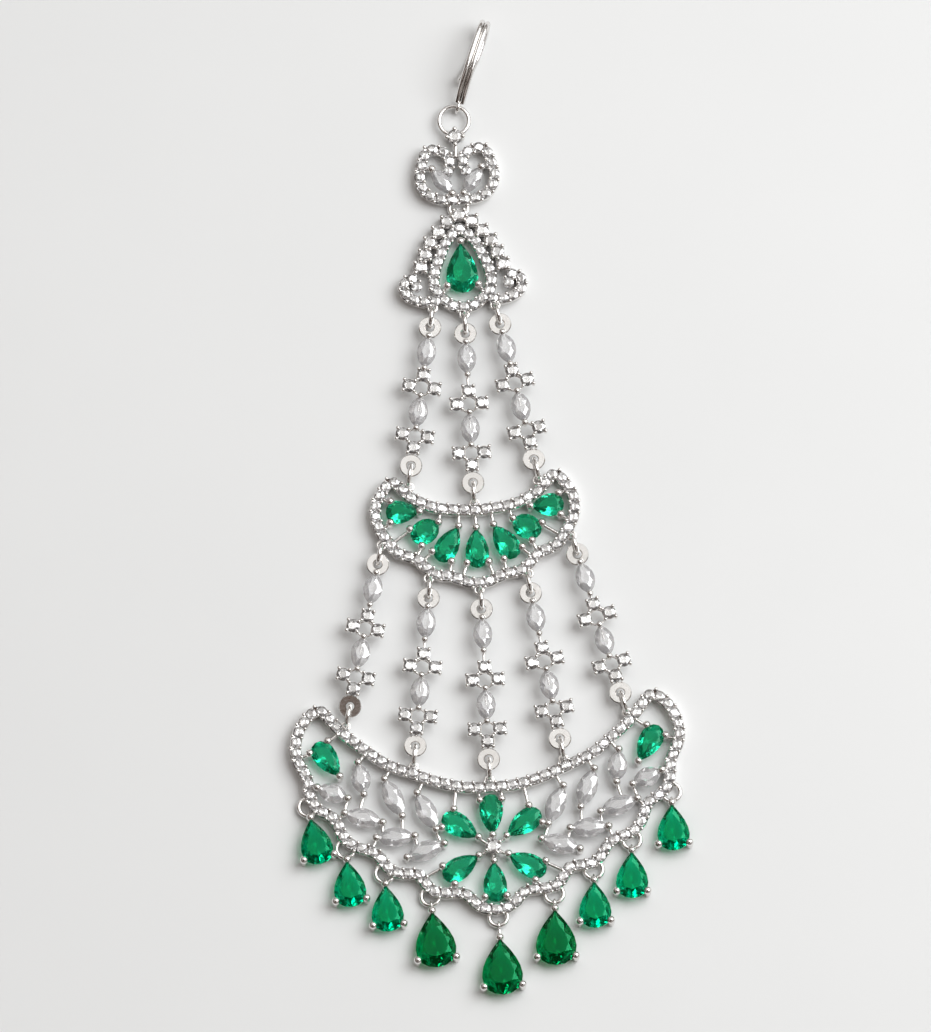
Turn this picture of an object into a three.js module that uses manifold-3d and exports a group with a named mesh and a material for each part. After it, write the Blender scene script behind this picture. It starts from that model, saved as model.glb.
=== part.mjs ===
// A jhoomar: a hair jewel of cast frames set with clear and green stones, joined by jump rings.
// It lies face up on its back. +X is to its right, +Y towards the hair hook and +Z out of its face.
// Sizes are in millimetres.
import * as THREE from 'three';
import { mergeVertices } from 'three/addons/utils/BufferGeometryUtils.js';
import { ConvexGeometry } from 'three/addons/geometries/ConvexGeometry.js';
import Module from 'manifold-3d';

const wasm = await Module();
wasm.setup();

// Driving dimensions of the frames
const BAND_WIDTH = 1.8;
const BAND_HEIGHT = 1.9;
const STATION_PITCH = 2;
const LARGE_WIDTH = 59.2;
const LARGE_HEIGHT = 32.6;
const SMALL_WIDTH = 30.7;
const SMALL_HEIGHT = 17.2;
const TEARDROP_WIDTH = 18.6;
const TEARDROP_HEIGHT = 15.2;
const CROWN_WIDTH = 11.6;
const CROWN_HEIGHT = 8.3;
const CROWN_BAND = 1.6;
const CROWN_STEM = 0.9;
const CROWN_STONE = 2.4;
const RIB_WIDTH = 0.7;
const RIB_HEIGHT = 0.7;
const RIB_LIFT = 0.12;

// Driving dimensions of the strands
const STRAND_SPAN = 23.8;
const WASHER_RADIUS = 1.75;
const WASHER_HOLE = 0.65;
const WASHER_THICKNESS = 0.45;
const WASHER_SIDES = 8;
const WASHER_HOLD = 0.8;
const UPPER_MARQUISE = 4.1;
const UPPER_FLOWER = 11.3;
const LOWER_MARQUISE = 15.3;
const LOWER_FLOWER = 19.1;
const PETAL_REACH = 1.95;
const STRAND_GIRDLE = 0.45;
const BACK_INSET = 0.06;

// Driving dimensions of the links
const WIRE = 0.54;
const WIRE_GAP = 0.14;
const RING_RADIUS = 1.6;
const LINK_RADIUS = 1.4;
const FLAT_RING_LEVEL = 0.75;
const LINK_REACH = 0.35;
const DROP_RING_REACH = 0.15;
const EYE_RADIUS = 0.85;
const EYE_REACH = 0.2;
const EYE_STEP = 0.1;
const EYE_GAP = 0.2;
const EYE_THICKNESS = 0.6;
const EYE_SIDES = 6;
const LOOP_RADIUS = 0.7;
const LOOP_WIDTH = 0.6;
const LOOP_HOLD = 0.7;
const CUT_PAST = 1;
const RING_SIDES = 10;
const WIRE_SIDES = 5;

// Driving dimensions of the hair hook
const HOOK_LENGTH = 13.9;
const HOOK_HEIGHT = 5.2;
const HOOK_WIRE = 0.88;
const HOOK_LEAN = 20.7;
const HOOK_RING_RADIUS = 2.3;
const HOOK_RING_RISE = 0.45;
const HOOK_RING_LEVEL = 1.12;
const HOOK_EYE_RADIUS = 0.8;
const HOOK_EYE_WIRE = 0.6;
const HOOK_STEPS = 12;

// Driving dimensions of the stones and what holds them
const GIRDLE_LEVEL = 1.9;
const CULET_LEVEL = 0.85;
const CROWN_SHARE = 0.19;
const TABLE_SHARE = 0.6;
const CUP_SHARE = 0.6;
const PLATE_SHARE = 1.2;
const PLATE_AT = [0, 65, 131, 180, 229, 295];
const SEAT_GAP = 0.2;
const PRONG_RADIUS = 0.34;
const PRONG_FOOT = 0.5;
const PRONG_SIDES = 4;
const PRONG_RISE = 0.35;
const HELD_AT = [0, 131, 229];
const ROUND_SIZE = 2;
const FRAME_MARQUISE = { width: 3, length: 6 };
const STRAND_MARQUISE = { width: 2.9, length: 4.7 };
const CROWN_MARQUISE = { width: 2.6, length: 4.9 };
const CRESCENT_PEAR = { width: 4, length: 6 };
const CENTRE_PEAR = { width: 5, length: 8 };
const END_PEAR = { width: 3.9, length: 4.9 };
const SIDE_PEAR = { width: 4, length: 5.8 };
const SIDE_OVAL = { width: 3.9, length: 4.7 };
const DROP_SHARE = 0.0845;
const DROP_WIDTH = DROP_SHARE * LARGE_WIDTH;
const SMALL_DROP = { width: DROP_WIDTH, length: 1.46 * DROP_WIDTH, neck: 0.15 * DROP_WIDTH };
const BIG_DROP = { width: 1.26 * DROP_WIDTH, length: 1.74 * DROP_WIDTH, neck: 0.27 * DROP_WIDTH };
const MIDDLE_DROP = { width: 1.26 * DROP_WIDTH, length: 1.76 * DROP_WIDTH, neck: 0.46 * DROP_WIDTH };
const MARQUISE_FULLNESS = 1.4;
const PEAR_FULLNESS = 0.77;

const METAL = { color: 0xd9d6d2, roughness: 0.16, metalness: 1 };
const GREEN = { color: 0x067a48, roughness: 0.06, metalness: 0 };

// The half borders, as shares of the width and height from the frame's own centre, bottom to top
const LARGE_BORDER = [
  { across: 0, up: -0.305 }, { across: 0.085, up: -0.285 }, { across: 0.155, up: -0.222 },
  { across: 0.215, up: -0.214 }, { across: 0.275, up: -0.212 }, { across: 0.322, up: -0.2 },
  { across: 0.362, up: -0.158 }, { across: 0.392, up: -0.118 }, { across: 0.43, up: -0.111 },
  { across: 0.493, up: -0.108 }, { across: 0.554, up: -0.074 }, { across: 0.594, up: -0.018 },
  { across: 0.65, up: 0.013 }, { across: 0.709, up: 0.03 }, { across: 0.753, up: 0.06 },
  { across: 0.784, up: 0.101 }, { across: 0.8, up: 0.142 }, { across: 0.828, up: 0.184 },
  { across: 0.878, up: 0.21 }, { across: 0.922, up: 0.251 }, { across: 0.94, up: 0.314 },
  { across: 0.946, up: 0.376 }, { across: 0.966, up: 0.416 }, { across: 0.99, up: 0.462 },
  { across: 1, up: 0.509 }, { across: 0.993, up: 0.56 }, { across: 0.975, up: 0.609 },
  { across: 0.942, up: 0.655 }, { across: 0.9, up: 0.69 }, { across: 0.862, up: 0.7 },
  { across: 0.824, up: 0.667 }, { across: 0.747, up: 0.582 }, { across: 0.642, up: 0.5 },
  { across: 0.53, up: 0.424 }, { across: 0.405, up: 0.375 }, { across: 0.27, up: 0.326 },
  { across: 0.142, up: 0.296 }, { across: 0, up: 0.289 },
];
const SMALL_BORDER = [
  { across: 0, up: -0.3 }, { across: 0.07, up: -0.297 }, { across: 0.17, up: -0.262 },
  { across: 0.29, up: -0.222 }, { across: 0.41, up: -0.21 }, { across: 0.52, up: -0.14 },
  { across: 0.605, up: -0.06 }, { across: 0.69, up: -0.025 }, { across: 0.8, up: 0.01 },
  { across: 0.87, up: 0.095 }, { across: 0.93, up: 0.175 }, { across: 0.98, up: 0.265 },
  { across: 1, up: 0.36 }, { across: 0.995, up: 0.445 }, { across: 0.965, up: 0.52 },
  { across: 0.905, up: 0.6 }, { across: 0.825, up: 0.67 }, { across: 0.735, up: 0.605 },
  { across: 0.655, up: 0.53 }, { across: 0.555, up: 0.475 }, { across: 0.44, up: 0.425 },
  { across: 0.32, up: 0.397 }, { across: 0.21, up: 0.385 }, { across: 0.11, up: 0.378 },
  { across: 0, up: 0.37 },
];
const HALO_BORDER = [
  { across: 0, up: -0.408 }, { across: 0.2, up: -0.38 }, { across: 0.345, up: -0.305 },
  { across: 0.455, up: -0.215 }, { across: 0.475, up: -0.11 }, { across: 0.44, up: 0.01 },
  { across: 0.345, up: 0.14 }, { across: 0.265, up: 0.26 }, { across: 0.155, up: 0.345 },
  { across: 0, up: 0.42 },
];
const CROWN_BORDER = [
  { across: 0, up: -0.47 }, { across: 0.33, up: -0.46 }, { across: 0.54, up: -0.43 },
  { across: 0.77, up: -0.36 }, { across: 0.94, up: -0.2 }, { across: 1, up: -0.03 },
  { across: 0.965, up: 0.15 }, { across: 0.88, up: 0.34 }, { across: 0.77, up: 0.5 },
  { across: 0.53, up: 0.51 }, { across: 0.32, up: 0.45 }, { across: 0.175, up: 0.31 },
  { across: 0.18, up: 0.19 }, { across: 0.25, up: 0.08 },
];

// Stones inside the frames: places as shares like the borders', turns in degrees from +Y
const LARGE_MARQUISES = [
  { across: 0.668, up: 0.359, turn: 7 }, { across: 0.819, up: 0.296, turn: 67 },
  { across: 0.664, up: 0.168, turn: 73 }, { across: 0.505, up: 0.259, turn: 22 },
  { across: 0.504, up: 0.068, turn: 90 }, { across: 0.336, up: 0.185, turn: 24 },
  { across: 0.351, up: -0.005, turn: -72 },
];
const TIP_EMERALD = { across: 0.838, up: 0.462, turn: -32 };
const LARGE_TIES = [
  { from: { across: 0.674, up: 0.4 }, to: { across: 0.69, up: 0.53 } },
  { from: { across: 0.86, up: 0.31 }, to: { across: 0.945, up: 0.34 } },
  { from: { across: 0.72, up: 0.18 }, to: { across: 0.822, up: 0.178 } },
  { from: { across: 0.52, up: 0.29 }, to: { across: 0.535, up: 0.42 } },
  { from: { across: 0.48, up: 0.21 }, to: { across: 0.5, up: 0.08 } },
  { from: { across: 0.56, up: 0.07 }, to: { across: 0.64, up: 0.012 } },
  { from: { across: 0.36, up: 0.23 }, to: { across: 0.392, up: 0.37 } },
  { from: { across: 0.31, up: 0.14 }, to: { across: 0.3, up: 0.01 } },
  { from: { across: 0.4, up: -0.015 }, to: { across: 0.453, up: -0.11 } },
  { from: { across: 0.15, up: 0.12 }, to: { across: 0.145, up: 0.295 } },
  { from: { across: 0.18, up: -0.12 }, to: { across: 0.18, up: -0.22 } },
  { from: { across: 0.86, up: 0.49 }, to: { across: 0.99, up: 0.49 } },
];
const PETALS = [
  { turn: 180, reach: 0.156 }, { turn: 125, reach: 0.184 }, { turn: -125, reach: 0.184 },
  { turn: 59, reach: 0.184 }, { turn: -59, reach: 0.184 }, { turn: 0, reach: 0.175 },
];
const SMALL_EMERALDS = [
  { across: -0.742, up: 0.378, turn: -90, size: END_PEAR },
  { across: -0.515, up: 0.188, turn: -60, size: SIDE_OVAL },
  { across: -0.315, up: 0.072, turn: -28, size: SIDE_PEAR },
  { across: 0, up: 0.012, turn: 0, size: CRESCENT_PEAR },
  { across: 0.315, up: 0.072, turn: 28, size: SIDE_PEAR },
  { across: 0.515, up: 0.188, turn: 60, size: SIDE_OVAL },
  { across: 0.742, up: 0.378, turn: 90, size: END_PEAR },
];
const SMALL_TIE = { spread: 0.08, rise: 0.3 };
const OPEN_STONES = [
  { across: 0, up: 0.555 }, { across: 0.205, up: 0.49 }, { across: 0.365, up: 0.385 },
  { across: 0.505, up: 0.28 }, { across: 0.605, up: 0.155 }, { across: 0.69, up: 0.025 },
];
const SCROLL = [
  { across: 0.77, up: -0.075 }, { across: 0.9, up: -0.09 }, { across: 0.985, up: -0.165 },
  { across: 0.945, up: -0.26 }, { across: 0.81, up: -0.31 }, { across: 0.68, up: -0.34 },
  { across: 0.48, up: -0.33 },
];
const SCROLL_CURL = [{ across: 0.82, up: -0.075 }, { across: 0.765, up: -0.18 }];
const CROWN_STONES = { across: 0.41, up: -0.11, turn: 36 };
const CROWN_BRIDGE = { across: 0.32, up: 0.38 };

// The hook's line from its eye, up, over and back beneath, as shares of its length and height
const HOOK_ROUTE = [
  { along: 0.05, up: 0.3 }, { along: 0.14, up: 0.52 }, { along: 0.3, up: 0.8 }, { along: 0.5, up: 0.93 },
  { along: 0.72, up: 0.93 }, { along: 0.88, up: 0.85 }, { along: 0.97, up: 0.65 }, { along: 0.97, up: 0.4 },
  { along: 0.88, up: 0.17 }, { along: 0.72, up: 0.09 }, { along: 0.5, up: 0.09 }, { along: 0.36, up: 0.14 },
  { along: 0.27, up: 0.27 },
];

// Where the strands hang from the borders, and where the drops do
const UPPER_STRANDS = [
  { from: { across: -0.52, up: -0.33 }, to: { across: -0.72, up: 0.56 } },
  { from: { across: 0, up: -0.408 }, to: { across: 0, up: 0.37 } },
  { from: { across: 0.52, up: -0.33 }, to: { across: 0.72, up: 0.56 } },
];
const LOWER_STRANDS = [
  { from: { across: -0.9, up: 0.125 }, to: { across: -0.76, up: 0.59 } },
  { from: { across: -0.46, up: -0.19 }, to: { across: -0.405, up: 0.375 } },
  { from: { across: 0, up: -0.3 }, to: { across: 0, up: 0.289 } },
  { from: { across: 0.46, up: -0.19 }, to: { across: 0.405, up: 0.375 } },
  { from: { across: 0.9, up: 0.125 }, to: { across: 0.76, up: 0.59 } },
];
const DROPS = [
  { across: -0.925, up: 0.255, lay: 9, size: SMALL_DROP },
  { across: -0.74, up: 0.05, lay: 3, size: SMALL_DROP },
  { across: -0.55, up: -0.08, lay: 1, size: SMALL_DROP },
  { across: -0.32, up: -0.2, lay: 3, size: BIG_DROP },
  { across: 0, up: -0.305, lay: 1, size: MIDDLE_DROP },
  { across: 0.3, up: -0.205, lay: -1, size: BIG_DROP },
  { across: 0.505, up: -0.095, lay: -1, size: SMALL_DROP },
  { across: 0.708, up: 0.03, lay: -2.5, size: SMALL_DROP },
  { across: 0.91, up: 0.24, lay: 0, size: SMALL_DROP },
];

const radians = THREE.MathUtils.degToRad;

/** The matrix that turns a piece about Z and moves it to its place. */
function place(x, y, z = 0, turn = 0) {
  return new THREE.Matrix4().makeRotationZ(radians(turn)).setPosition(x, y, z);
}

/** A closed geometry as a solid, moved to its place. */
function solid(geometry, matrix = new THREE.Matrix4()) {
  const bare = new THREE.BufferGeometry();
  bare.setAttribute('position', geometry.getAttribute('position').clone());
  if (geometry.index) bare.setIndex(geometry.index.clone());
  bare.applyMatrix4(matrix);
  const merged = mergeVertices(bare, 1e-4);
  return new wasm.Manifold(new wasm.Mesh({
    numProp: 3,
    vertProperties: merged.getAttribute('position').array,
    triVerts: Uint32Array.from(merged.index.array),
  }));
}

/** All the pieces joined as one solid. */
function join(pieces) {
  return pieces.reduce((whole, piece) => whole.add(piece));
}

/** A solid as a named mesh. */
function mesh(name, body, finish) {
  const result = body.getMesh();
  const geometry = new THREE.BufferGeometry();
  geometry.setAttribute('position', new THREE.BufferAttribute(Float32Array.from(result.vertProperties), 3));
  geometry.setIndex(new THREE.BufferAttribute(Uint32Array.from(result.triVerts), 1));
  geometry.computeVertexNormals();
  const made = new THREE.Mesh(geometry, new THREE.MeshStandardMaterial({ ...finish, flatShading: true }));
  made.name = name;
  return made;
}

/** An upright round post. */
function post(x, y, low, high, radius, sides = 6) {
  const geometry = new THREE.CylinderGeometry(radius, radius, high - low, sides);
  geometry.rotateX(Math.PI / 2);
  return solid(geometry, place(x, y, (low + high) / 2));
}

/** A straight rib between two points. */
function rib(a, b, low = RIB_LIFT, high = RIB_LIFT + RIB_HEIGHT, width = RIB_WIDTH) {
  const geometry = new THREE.BoxGeometry(a.distanceTo(b), width, high - low);
  const turn = THREE.MathUtils.radToDeg(Math.atan2(b.y - a.y, b.x - a.x));
  return solid(geometry, place((a.x + b.x) / 2, (a.y + b.y) / 2, (low + high) / 2, turn));
}

/** An upright plate of an outline, with holes. */
function plate(outline, holes, low, high) {
  const shape = new THREE.Shape(outline);
  shape.holes = holes.map((hole) => new THREE.Path(hole));
  const geometry = new THREE.ExtrudeGeometry(shape, { depth: high - low, bevelEnabled: false });
  return solid(geometry, place(0, 0, low));
}

/** A ring of wire lying flat. */
const ring = (radius, wire) => new THREE.TorusGeometry(radius, wire / 2, WIRE_SIDES, RING_SIDES);

// Outlines

/** A half border's points with their mirror images: a loop from the bottom, or open at the top. */
function lineOf(rows, width, height, closed) {
  const right = rows.map((row) => new THREE.Vector2(row.across * width / 2, row.up * height));
  const mirrored = right.slice(1, closed ? -1 : undefined).reverse();
  const left = mirrored.map((point) => new THREE.Vector2(-point.x, point.y));
  return closed ? [...right, ...left] : [...left, ...right];
}

/** Evenly spaced points along the smooth line through some points. */
function stations(points, closed) {
  const line = new THREE.CatmullRomCurve3(points.map((p) => new THREE.Vector3(p.x, p.y, 0)), closed);
  const count = 2 * Math.round(line.getLength() / STATION_PITCH / 2);
  const found = line.getSpacedPoints(count).map((p) => new THREE.Vector2(p.x, p.y));
  return closed ? found.slice(0, count) : found;
}

/** The outward direction at each point of a line, long enough to keep the width at a bend. */
function outward(points, closed) {
  const last = points.length - 1;
  return points.map((point, i) => {
    const before = points[i > 0 ? i - 1 : closed ? last : 0];
    const after = points[i < last ? i + 1 : closed ? 0 : last];
    const into = point.clone().sub(before).normalize();
    const out = after.clone().sub(point).normalize();
    const along = into.clone().add(out).normalize();
    const bend = Math.max(along.dot(out.length() > 0 ? out : into), 0.75);
    return new THREE.Vector2(along.y, -along.x).divideScalar(bend);
  });
}

/** The line moved sideways by a distance. */
function offset(points, distance, closed = true) {
  const ways = outward(points, closed);
  return points.map((point, i) => point.clone().addScaledVector(ways[i], distance));
}

/** A closed band along a loop of points. */
function band(points, width = BAND_WIDTH, height = BAND_HEIGHT) {
  return plate(offset(points, width / 2), [offset(points, -width / 2)], 0, height);
}

/** An open band along a line of points. */
function strip(points, width, height) {
  const outline = [...offset(points, width / 2, false), ...offset(points, -width / 2, false).reverse()];
  return plate(outline, [], 0, height);
}

// Stones: each outline is a point for each turn t from its tip, on +Y, and t may be any number

const pearAt = ({ width, length }, t) => new THREE.Vector2(
  -width / 2 * Math.sin(t) * Math.sin(t / 2) / PEAR_FULLNESS, length / 2 * Math.cos(t));
const ovalAt = ({ width, length }, t) => new THREE.Vector2(
  -width / 2 * Math.sin(t), length / 2 * Math.cos(t));
const marquiseAt = ({ width, length }, t) => new THREE.Vector2(
  -width / 2 * Math.sign(Math.sin(t)) * Math.abs(Math.sin(t)) ** MARQUISE_FULLNESS,
  length / 2 * Math.cos(t));

const around = (count, spot) => Array.from({ length: count }, (_, i) => spot(2 * Math.PI * i / count));
const pear = (size) => around(10, (t) => pearAt(size, t));
const marquise = (size) => around(8, (t) => marquiseAt(size, t));
const round = (size) => around(6, (t) => ovalAt({ width: size, length: size }, t));

/** The middle of an outline. */
function middle(outline) {
  return outline.reduce((sum, point) => sum.add(point), new THREE.Vector2()).divideScalar(outline.length);
}

/** An outline drawn in towards its middle. */
function drawnIn(outline, share) {
  const centre = middle(outline);
  return outline.map((point) => centre.clone().lerp(point, share));
}

const everySecond = (outline) => outline.filter((_, i) => i % 2 === 0);

/** A cut stone: a table, facets to the girdle, and facets on to its culet or its cup's foot. */
function cut(outline, lower, girdle) {
  const table = everySecond(drawnIn(outline, TABLE_SHARE));
  const rise = 2 * CROWN_SHARE * Math.max(...outline.map((point) => point.x));
  return solid(new ConvexGeometry([
    ...outline.map((p) => new THREE.Vector3(p.x, p.y, girdle)),
    ...table.map((p) => new THREE.Vector3(p.x, p.y, girdle + rise)),
    ...lower,
  ]));
}

/** A loose stone, down to a culet. */
function stone(outline) {
  const centre = middle(outline);
  return cut(outline, [new THREE.Vector3(centre.x, centre.y, CULET_LEVEL)], GIRDLE_LEVEL);
}

/** A stone fused into a cup that narrows down to its foot. */
function cupped(outline, matrix, foot = 0, girdle = GIRDLE_LEVEL) {
  const base = everySecond(drawnIn(outline, CUP_SHARE));
  const lower = base.map((p) => new THREE.Vector3(p.x, p.y, foot));
  return cut(outline, lower, girdle).transform(matrix.elements);
}

/** A prong that narrows upwards. */
function prong(x, y, low = 0, high = GIRDLE_LEVEL + PRONG_RISE) {
  const geometry = new THREE.CylinderGeometry(PRONG_RADIUS, PRONG_FOOT, high - low, PRONG_SIDES);
  geometry.rotateX(Math.PI / 2);
  return solid(geometry, place(x, y, (low + high) / 2, 180 / PRONG_SIDES));
}

/** The three prongs round a pear or an oval: one at its tip and two on its round end. */
function prongs(at, size, matrix, out) {
  return HELD_AT.map((t) => {
    const edge = at(size, radians(t));
    const spot = edge.addScaledVector(edge.clone().normalize(), out);
    return prong(spot.x, spot.y).transform(matrix.elements);
  });
}

/** The plate that a loose stone rests over, with the prongs that hold it. */
function seat(at, size, matrix) {
  const outline = drawnIn(PLATE_AT.map((t) => at(size, radians(t))), PLATE_SHARE);
  const under = plate(outline, [], 0, RIB_HEIGHT);
  return join([under.transform(matrix.elements), ...prongs(at, size, matrix, SEAT_GAP + PRONG_RADIUS)]);
}

/** A small round stone in its collet. */
const collet = (x, y) => cupped(round(ROUND_SIZE), place(x, y));

/** The ring of metal that a strand's jump ring goes through, and its hole. */
function eye({ point, way }) {
  const centre = point.clone().addScaledVector(way, BAND_WIDTH / 2 + EYE_REACH);
  const high = BAND_HEIGHT - EYE_STEP;
  const tab = post(centre.x, centre.y, high - EYE_THICKNESS, high, EYE_RADIUS, EYE_SIDES);
  const hole = post(centre.x, centre.y, -CUT_PAST, BAND_HEIGHT + CUT_PAST, WIRE / 2 + EYE_GAP, EYE_SIDES);
  return { centre, tab, hole };
}

/** The curved tunnel that lets a flat ring pass through a frame. */
function tunnel(centre, level = FLAT_RING_LEVEL, radius = LINK_RADIUS) {
  return solid(ring(radius, WIRE + 2 * WIRE_GAP), place(centre.x, centre.y, level));
}

// The frames: each is made round its own centre, and gives the places that others hang from

/** A frame's own measures: the border's stations, and its shares turned to places. */
function frameOf(border, width, height, closed = true) {
  const points = stations(lineOf(border, width, height, closed), closed);
  const spot = (row, side = 1) => new THREE.Vector2(side * row.across * width / 2, row.up * height);
  const near = (target) => {
    const feet = points.slice(0, closed ? undefined : -1).map((from, i) => {
      const along = points[(i + 1) % points.length].clone().sub(from);
      const share = THREE.MathUtils.clamp(target.clone().sub(from).dot(along) / along.lengthSq(), 0, 1);
      const point = from.clone().addScaledVector(along, share);
      return { point, way: new THREE.Vector2(along.y, -along.x).normalize() };
    });
    return feet.reduce((best, foot) => (
      foot.point.distanceTo(target) < best.point.distanceTo(target) ? foot : best));
  };
  return { points, spot, near };
}

function largeCrescent() {
  const { points, spot, near } = frameOf(LARGE_BORDER, LARGE_WIDTH, LARGE_HEIGHT);
  const eyes = LOWER_STRANDS.map((row) => eye(near(spot(row.to))));
  const hangs = DROPS.map((row) => {
    const { point, way } = near(spot(row));
    return point.clone().addScaledVector(way, BAND_WIDTH / 2 + DROP_RING_REACH);
  });
  const pieces = [band(points), ...eyes.map((one) => one.tab), collet(0, 0)];
  for (const side of [1, -1]) {
    for (const row of LARGE_MARQUISES) {
      const at = spot(row, side);
      pieces.push(cupped(marquise(FRAME_MARQUISE), place(at.x, at.y, 0, -side * row.turn)));
    }
    const tip = spot(TIP_EMERALD, side);
    pieces.push(seat(pearAt, CRESCENT_PEAR, place(tip.x, tip.y, 0, side * (180 + TIP_EMERALD.turn))));
    for (const { from, to } of LARGE_TIES) pieces.push(rib(spot(from, side), spot(to, side)));
  }
  for (const row of PETALS) {
    const at = new THREE.Vector2(0, -row.reach * LARGE_HEIGHT);
    at.rotateAround(new THREE.Vector2(), radians(row.turn));
    const matrix = place(at.x, at.y, 0, row.turn);
    pieces.push(cupped(pear(CRESCENT_PEAR), matrix), ...prongs(pearAt, CRESCENT_PEAR, matrix, 0));
  }
  pieces.push(rib(spot(LARGE_BORDER.at(0)), spot(LARGE_BORDER.at(-1))));
  let body = join(pieces);
  for (const hang of hangs) body = body.subtract(tunnel(hang));
  for (const one of eyes) body = body.subtract(one.hole);
  return { body, eyes: eyes.map((one) => one.centre), hangs, spot };
}

/** The outline of one of the small crescent's emeralds: pears, with an oval on either side. */
const emeraldAt = (row) => (row.size === SIDE_OVAL ? ovalAt : pearAt);

function smallCrescent() {
  const { points, spot, near } = frameOf(SMALL_BORDER, SMALL_WIDTH, SMALL_HEIGHT);
  const above = UPPER_STRANDS.map((row) => eye(near(spot(row.to))));
  const below = LOWER_STRANDS.map((row) => eye(near(spot(row.from))));
  const pieces = [band(points), ...[...above, ...below].map((one) => one.tab)];
  for (const row of SMALL_EMERALDS) {
    const at = spot(row);
    pieces.push(seat(emeraldAt(row), row.size, place(at.x, at.y, 0, row.turn)));
    const [foot, head] = [-1, 1].map((way) => near(spot({
      across: row.across * (1 - way * SMALL_TIE.spread), up: row.up + way * SMALL_TIE.rise })));
    pieces.push(rib(foot.point, head.point));
  }
  let body = join(pieces);
  for (const one of [...above, ...below]) body = body.subtract(one.hole);
  return { body, above: above.map((one) => one.centre), below: below.map((one) => one.centre), spot };
}

function teardropMotif() {
  const { points, spot, near } = frameOf(HALO_BORDER, TEARDROP_WIDTH, TEARDROP_HEIGHT);
  const pieces = [band(points), seat(pearAt, CENTRE_PEAR, place(0, 0))];
  pieces.push(rib(spot(HALO_BORDER.at(0)), spot(HALO_BORDER.at(-1))));
  for (const side of [1, -1]) {
    for (const line of [SCROLL, SCROLL_CURL]) {
      const along = line.map((row) => spot(row, side));
      pieces.push(strip(side > 0 ? along : along.reverse(), BAND_WIDTH, BAND_HEIGHT));
    }
    const chain = OPEN_STONES.map((row) => spot(row, side));
    for (let i = 1; i < chain.length; i += 1) {
      pieces.push(rib(chain[i - 1], chain[i]), collet(chain[i].x, chain[i].y));
    }
    for (const i of [0, 3]) pieces.push(rib(chain[i], near(chain[i]).point));
    pieces.push(rib(chain.at(-1), spot(SCROLL[0], side)));
  }
  const top = spot(OPEN_STONES[0]);
  pieces.push(collet(top.x, top.y));
  const eyes = UPPER_STRANDS.map((row) => eye({ point: spot(row.from), way: new THREE.Vector2(0, -1) }));
  pieces.push(...eyes.map((one) => one.tab));
  const hang = new THREE.Vector2(top.x, top.y + ROUND_SIZE / 2 + LINK_REACH);
  let body = join(pieces).subtract(tunnel(hang));
  for (const one of eyes) body = body.subtract(one.hole);
  return { body, eyes: eyes.map((one) => one.centre), hang };
}

function crownMotif() {
  const { points, spot, near } = frameOf(CROWN_BORDER, CROWN_WIDTH, CROWN_HEIGHT, false);
  const bridge = [spot(CROWN_BRIDGE, -1), spot(CROWN_BRIDGE)];
  const top = new THREE.Vector2(0, bridge[0].y + BAND_WIDTH / 2 + CROWN_STEM + CROWN_STONE / 2);
  const pieces = [strip(points, CROWN_BAND, BAND_HEIGHT), rib(...bridge), rib(spot(CROWN_BORDER[0]), top)];
  pieces.push(post(top.x, top.y, 0, GIRDLE_LEVEL, CROWN_STONE / 2, 8));
  pieces.push(cupped(round(CROWN_STONE), place(top.x, top.y)));
  for (const side of [1, -1]) {
    const at = spot(CROWN_STONES, side);
    pieces.push(cupped(marquise(CROWN_MARQUISE), place(at.x, at.y, 0, -side * CROWN_STONES.turn)));
    pieces.push(rib(at, near(spot({ across: 0.2, up: -0.47 }, side)).point));
    pieces.push(rib(at, near(spot({ across: 0.95, up: 0.2 }, side)).point));
  }
  const hang = new THREE.Vector2(0, spot(CROWN_BORDER[0]).y - CROWN_BAND / 2 - LINK_REACH);
  const hookRing = new THREE.Vector2(0, top.y + HOOK_RING_RISE + HOOK_RING_RADIUS);
  const body = join(pieces).subtract(tunnel(hang))
    .subtract(tunnel(hookRing, HOOK_RING_LEVEL, HOOK_RING_RADIUS));
  return { body, hang, hookRing };
}

// The strands, drops and hook

/** A strand, made downwards from the centre of its top washer: its cups stand on a flat back. */
function strand(length) {
  const low = RING_RADIUS + WIRE / 2 - WASHER_THICKNESS / 2;
  const high = low + WASHER_THICKNESS;
  const foot = high - 3 * BACK_INSET;
  const girdle = high + STRAND_GIRDLE;
  const neck = length - STRAND_SPAN;
  const cup = (outline, x, down) => cupped(outline, place(x, -down - neck), foot, girdle);
  const back = (x, from, to, inset) => rib(new THREE.Vector2(-x, -from), new THREE.Vector2(x, -to),
    low + inset, high - inset);
  const pieces = [
    post(0, 0, low, high, WASHER_RADIUS, WASHER_SIDES),
    post(0, -length, low, high, WASHER_RADIUS, WASHER_SIDES),
    back(0, WASHER_RADIUS * WASHER_HOLD, length - WASHER_RADIUS * WASHER_HOLD, BACK_INSET),
    cup(marquise(STRAND_MARQUISE), 0, UPPER_MARQUISE - neck),
    cup(marquise(STRAND_MARQUISE), 0, LOWER_MARQUISE),
    cup(round(ROUND_SIZE), 0, UPPER_FLOWER - PETAL_REACH),
    cup(round(ROUND_SIZE), 0, LOWER_FLOWER + PETAL_REACH),
  ];
  for (const down of [UPPER_FLOWER, LOWER_FLOWER]) {
    pieces.push(back(PETAL_REACH, down + neck, down + neck, 2 * BACK_INSET));
    pieces.push(cup(round(ROUND_SIZE), -PETAL_REACH, down), cup(round(ROUND_SIZE), PETAL_REACH, down));
  }
  const holes = [0, -length].map((y) => post(
    0, y, low - CUT_PAST, high + CUT_PAST, WASHER_HOLE, WASHER_SIDES));
  return join(pieces).subtract(join(holes));
}

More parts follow.
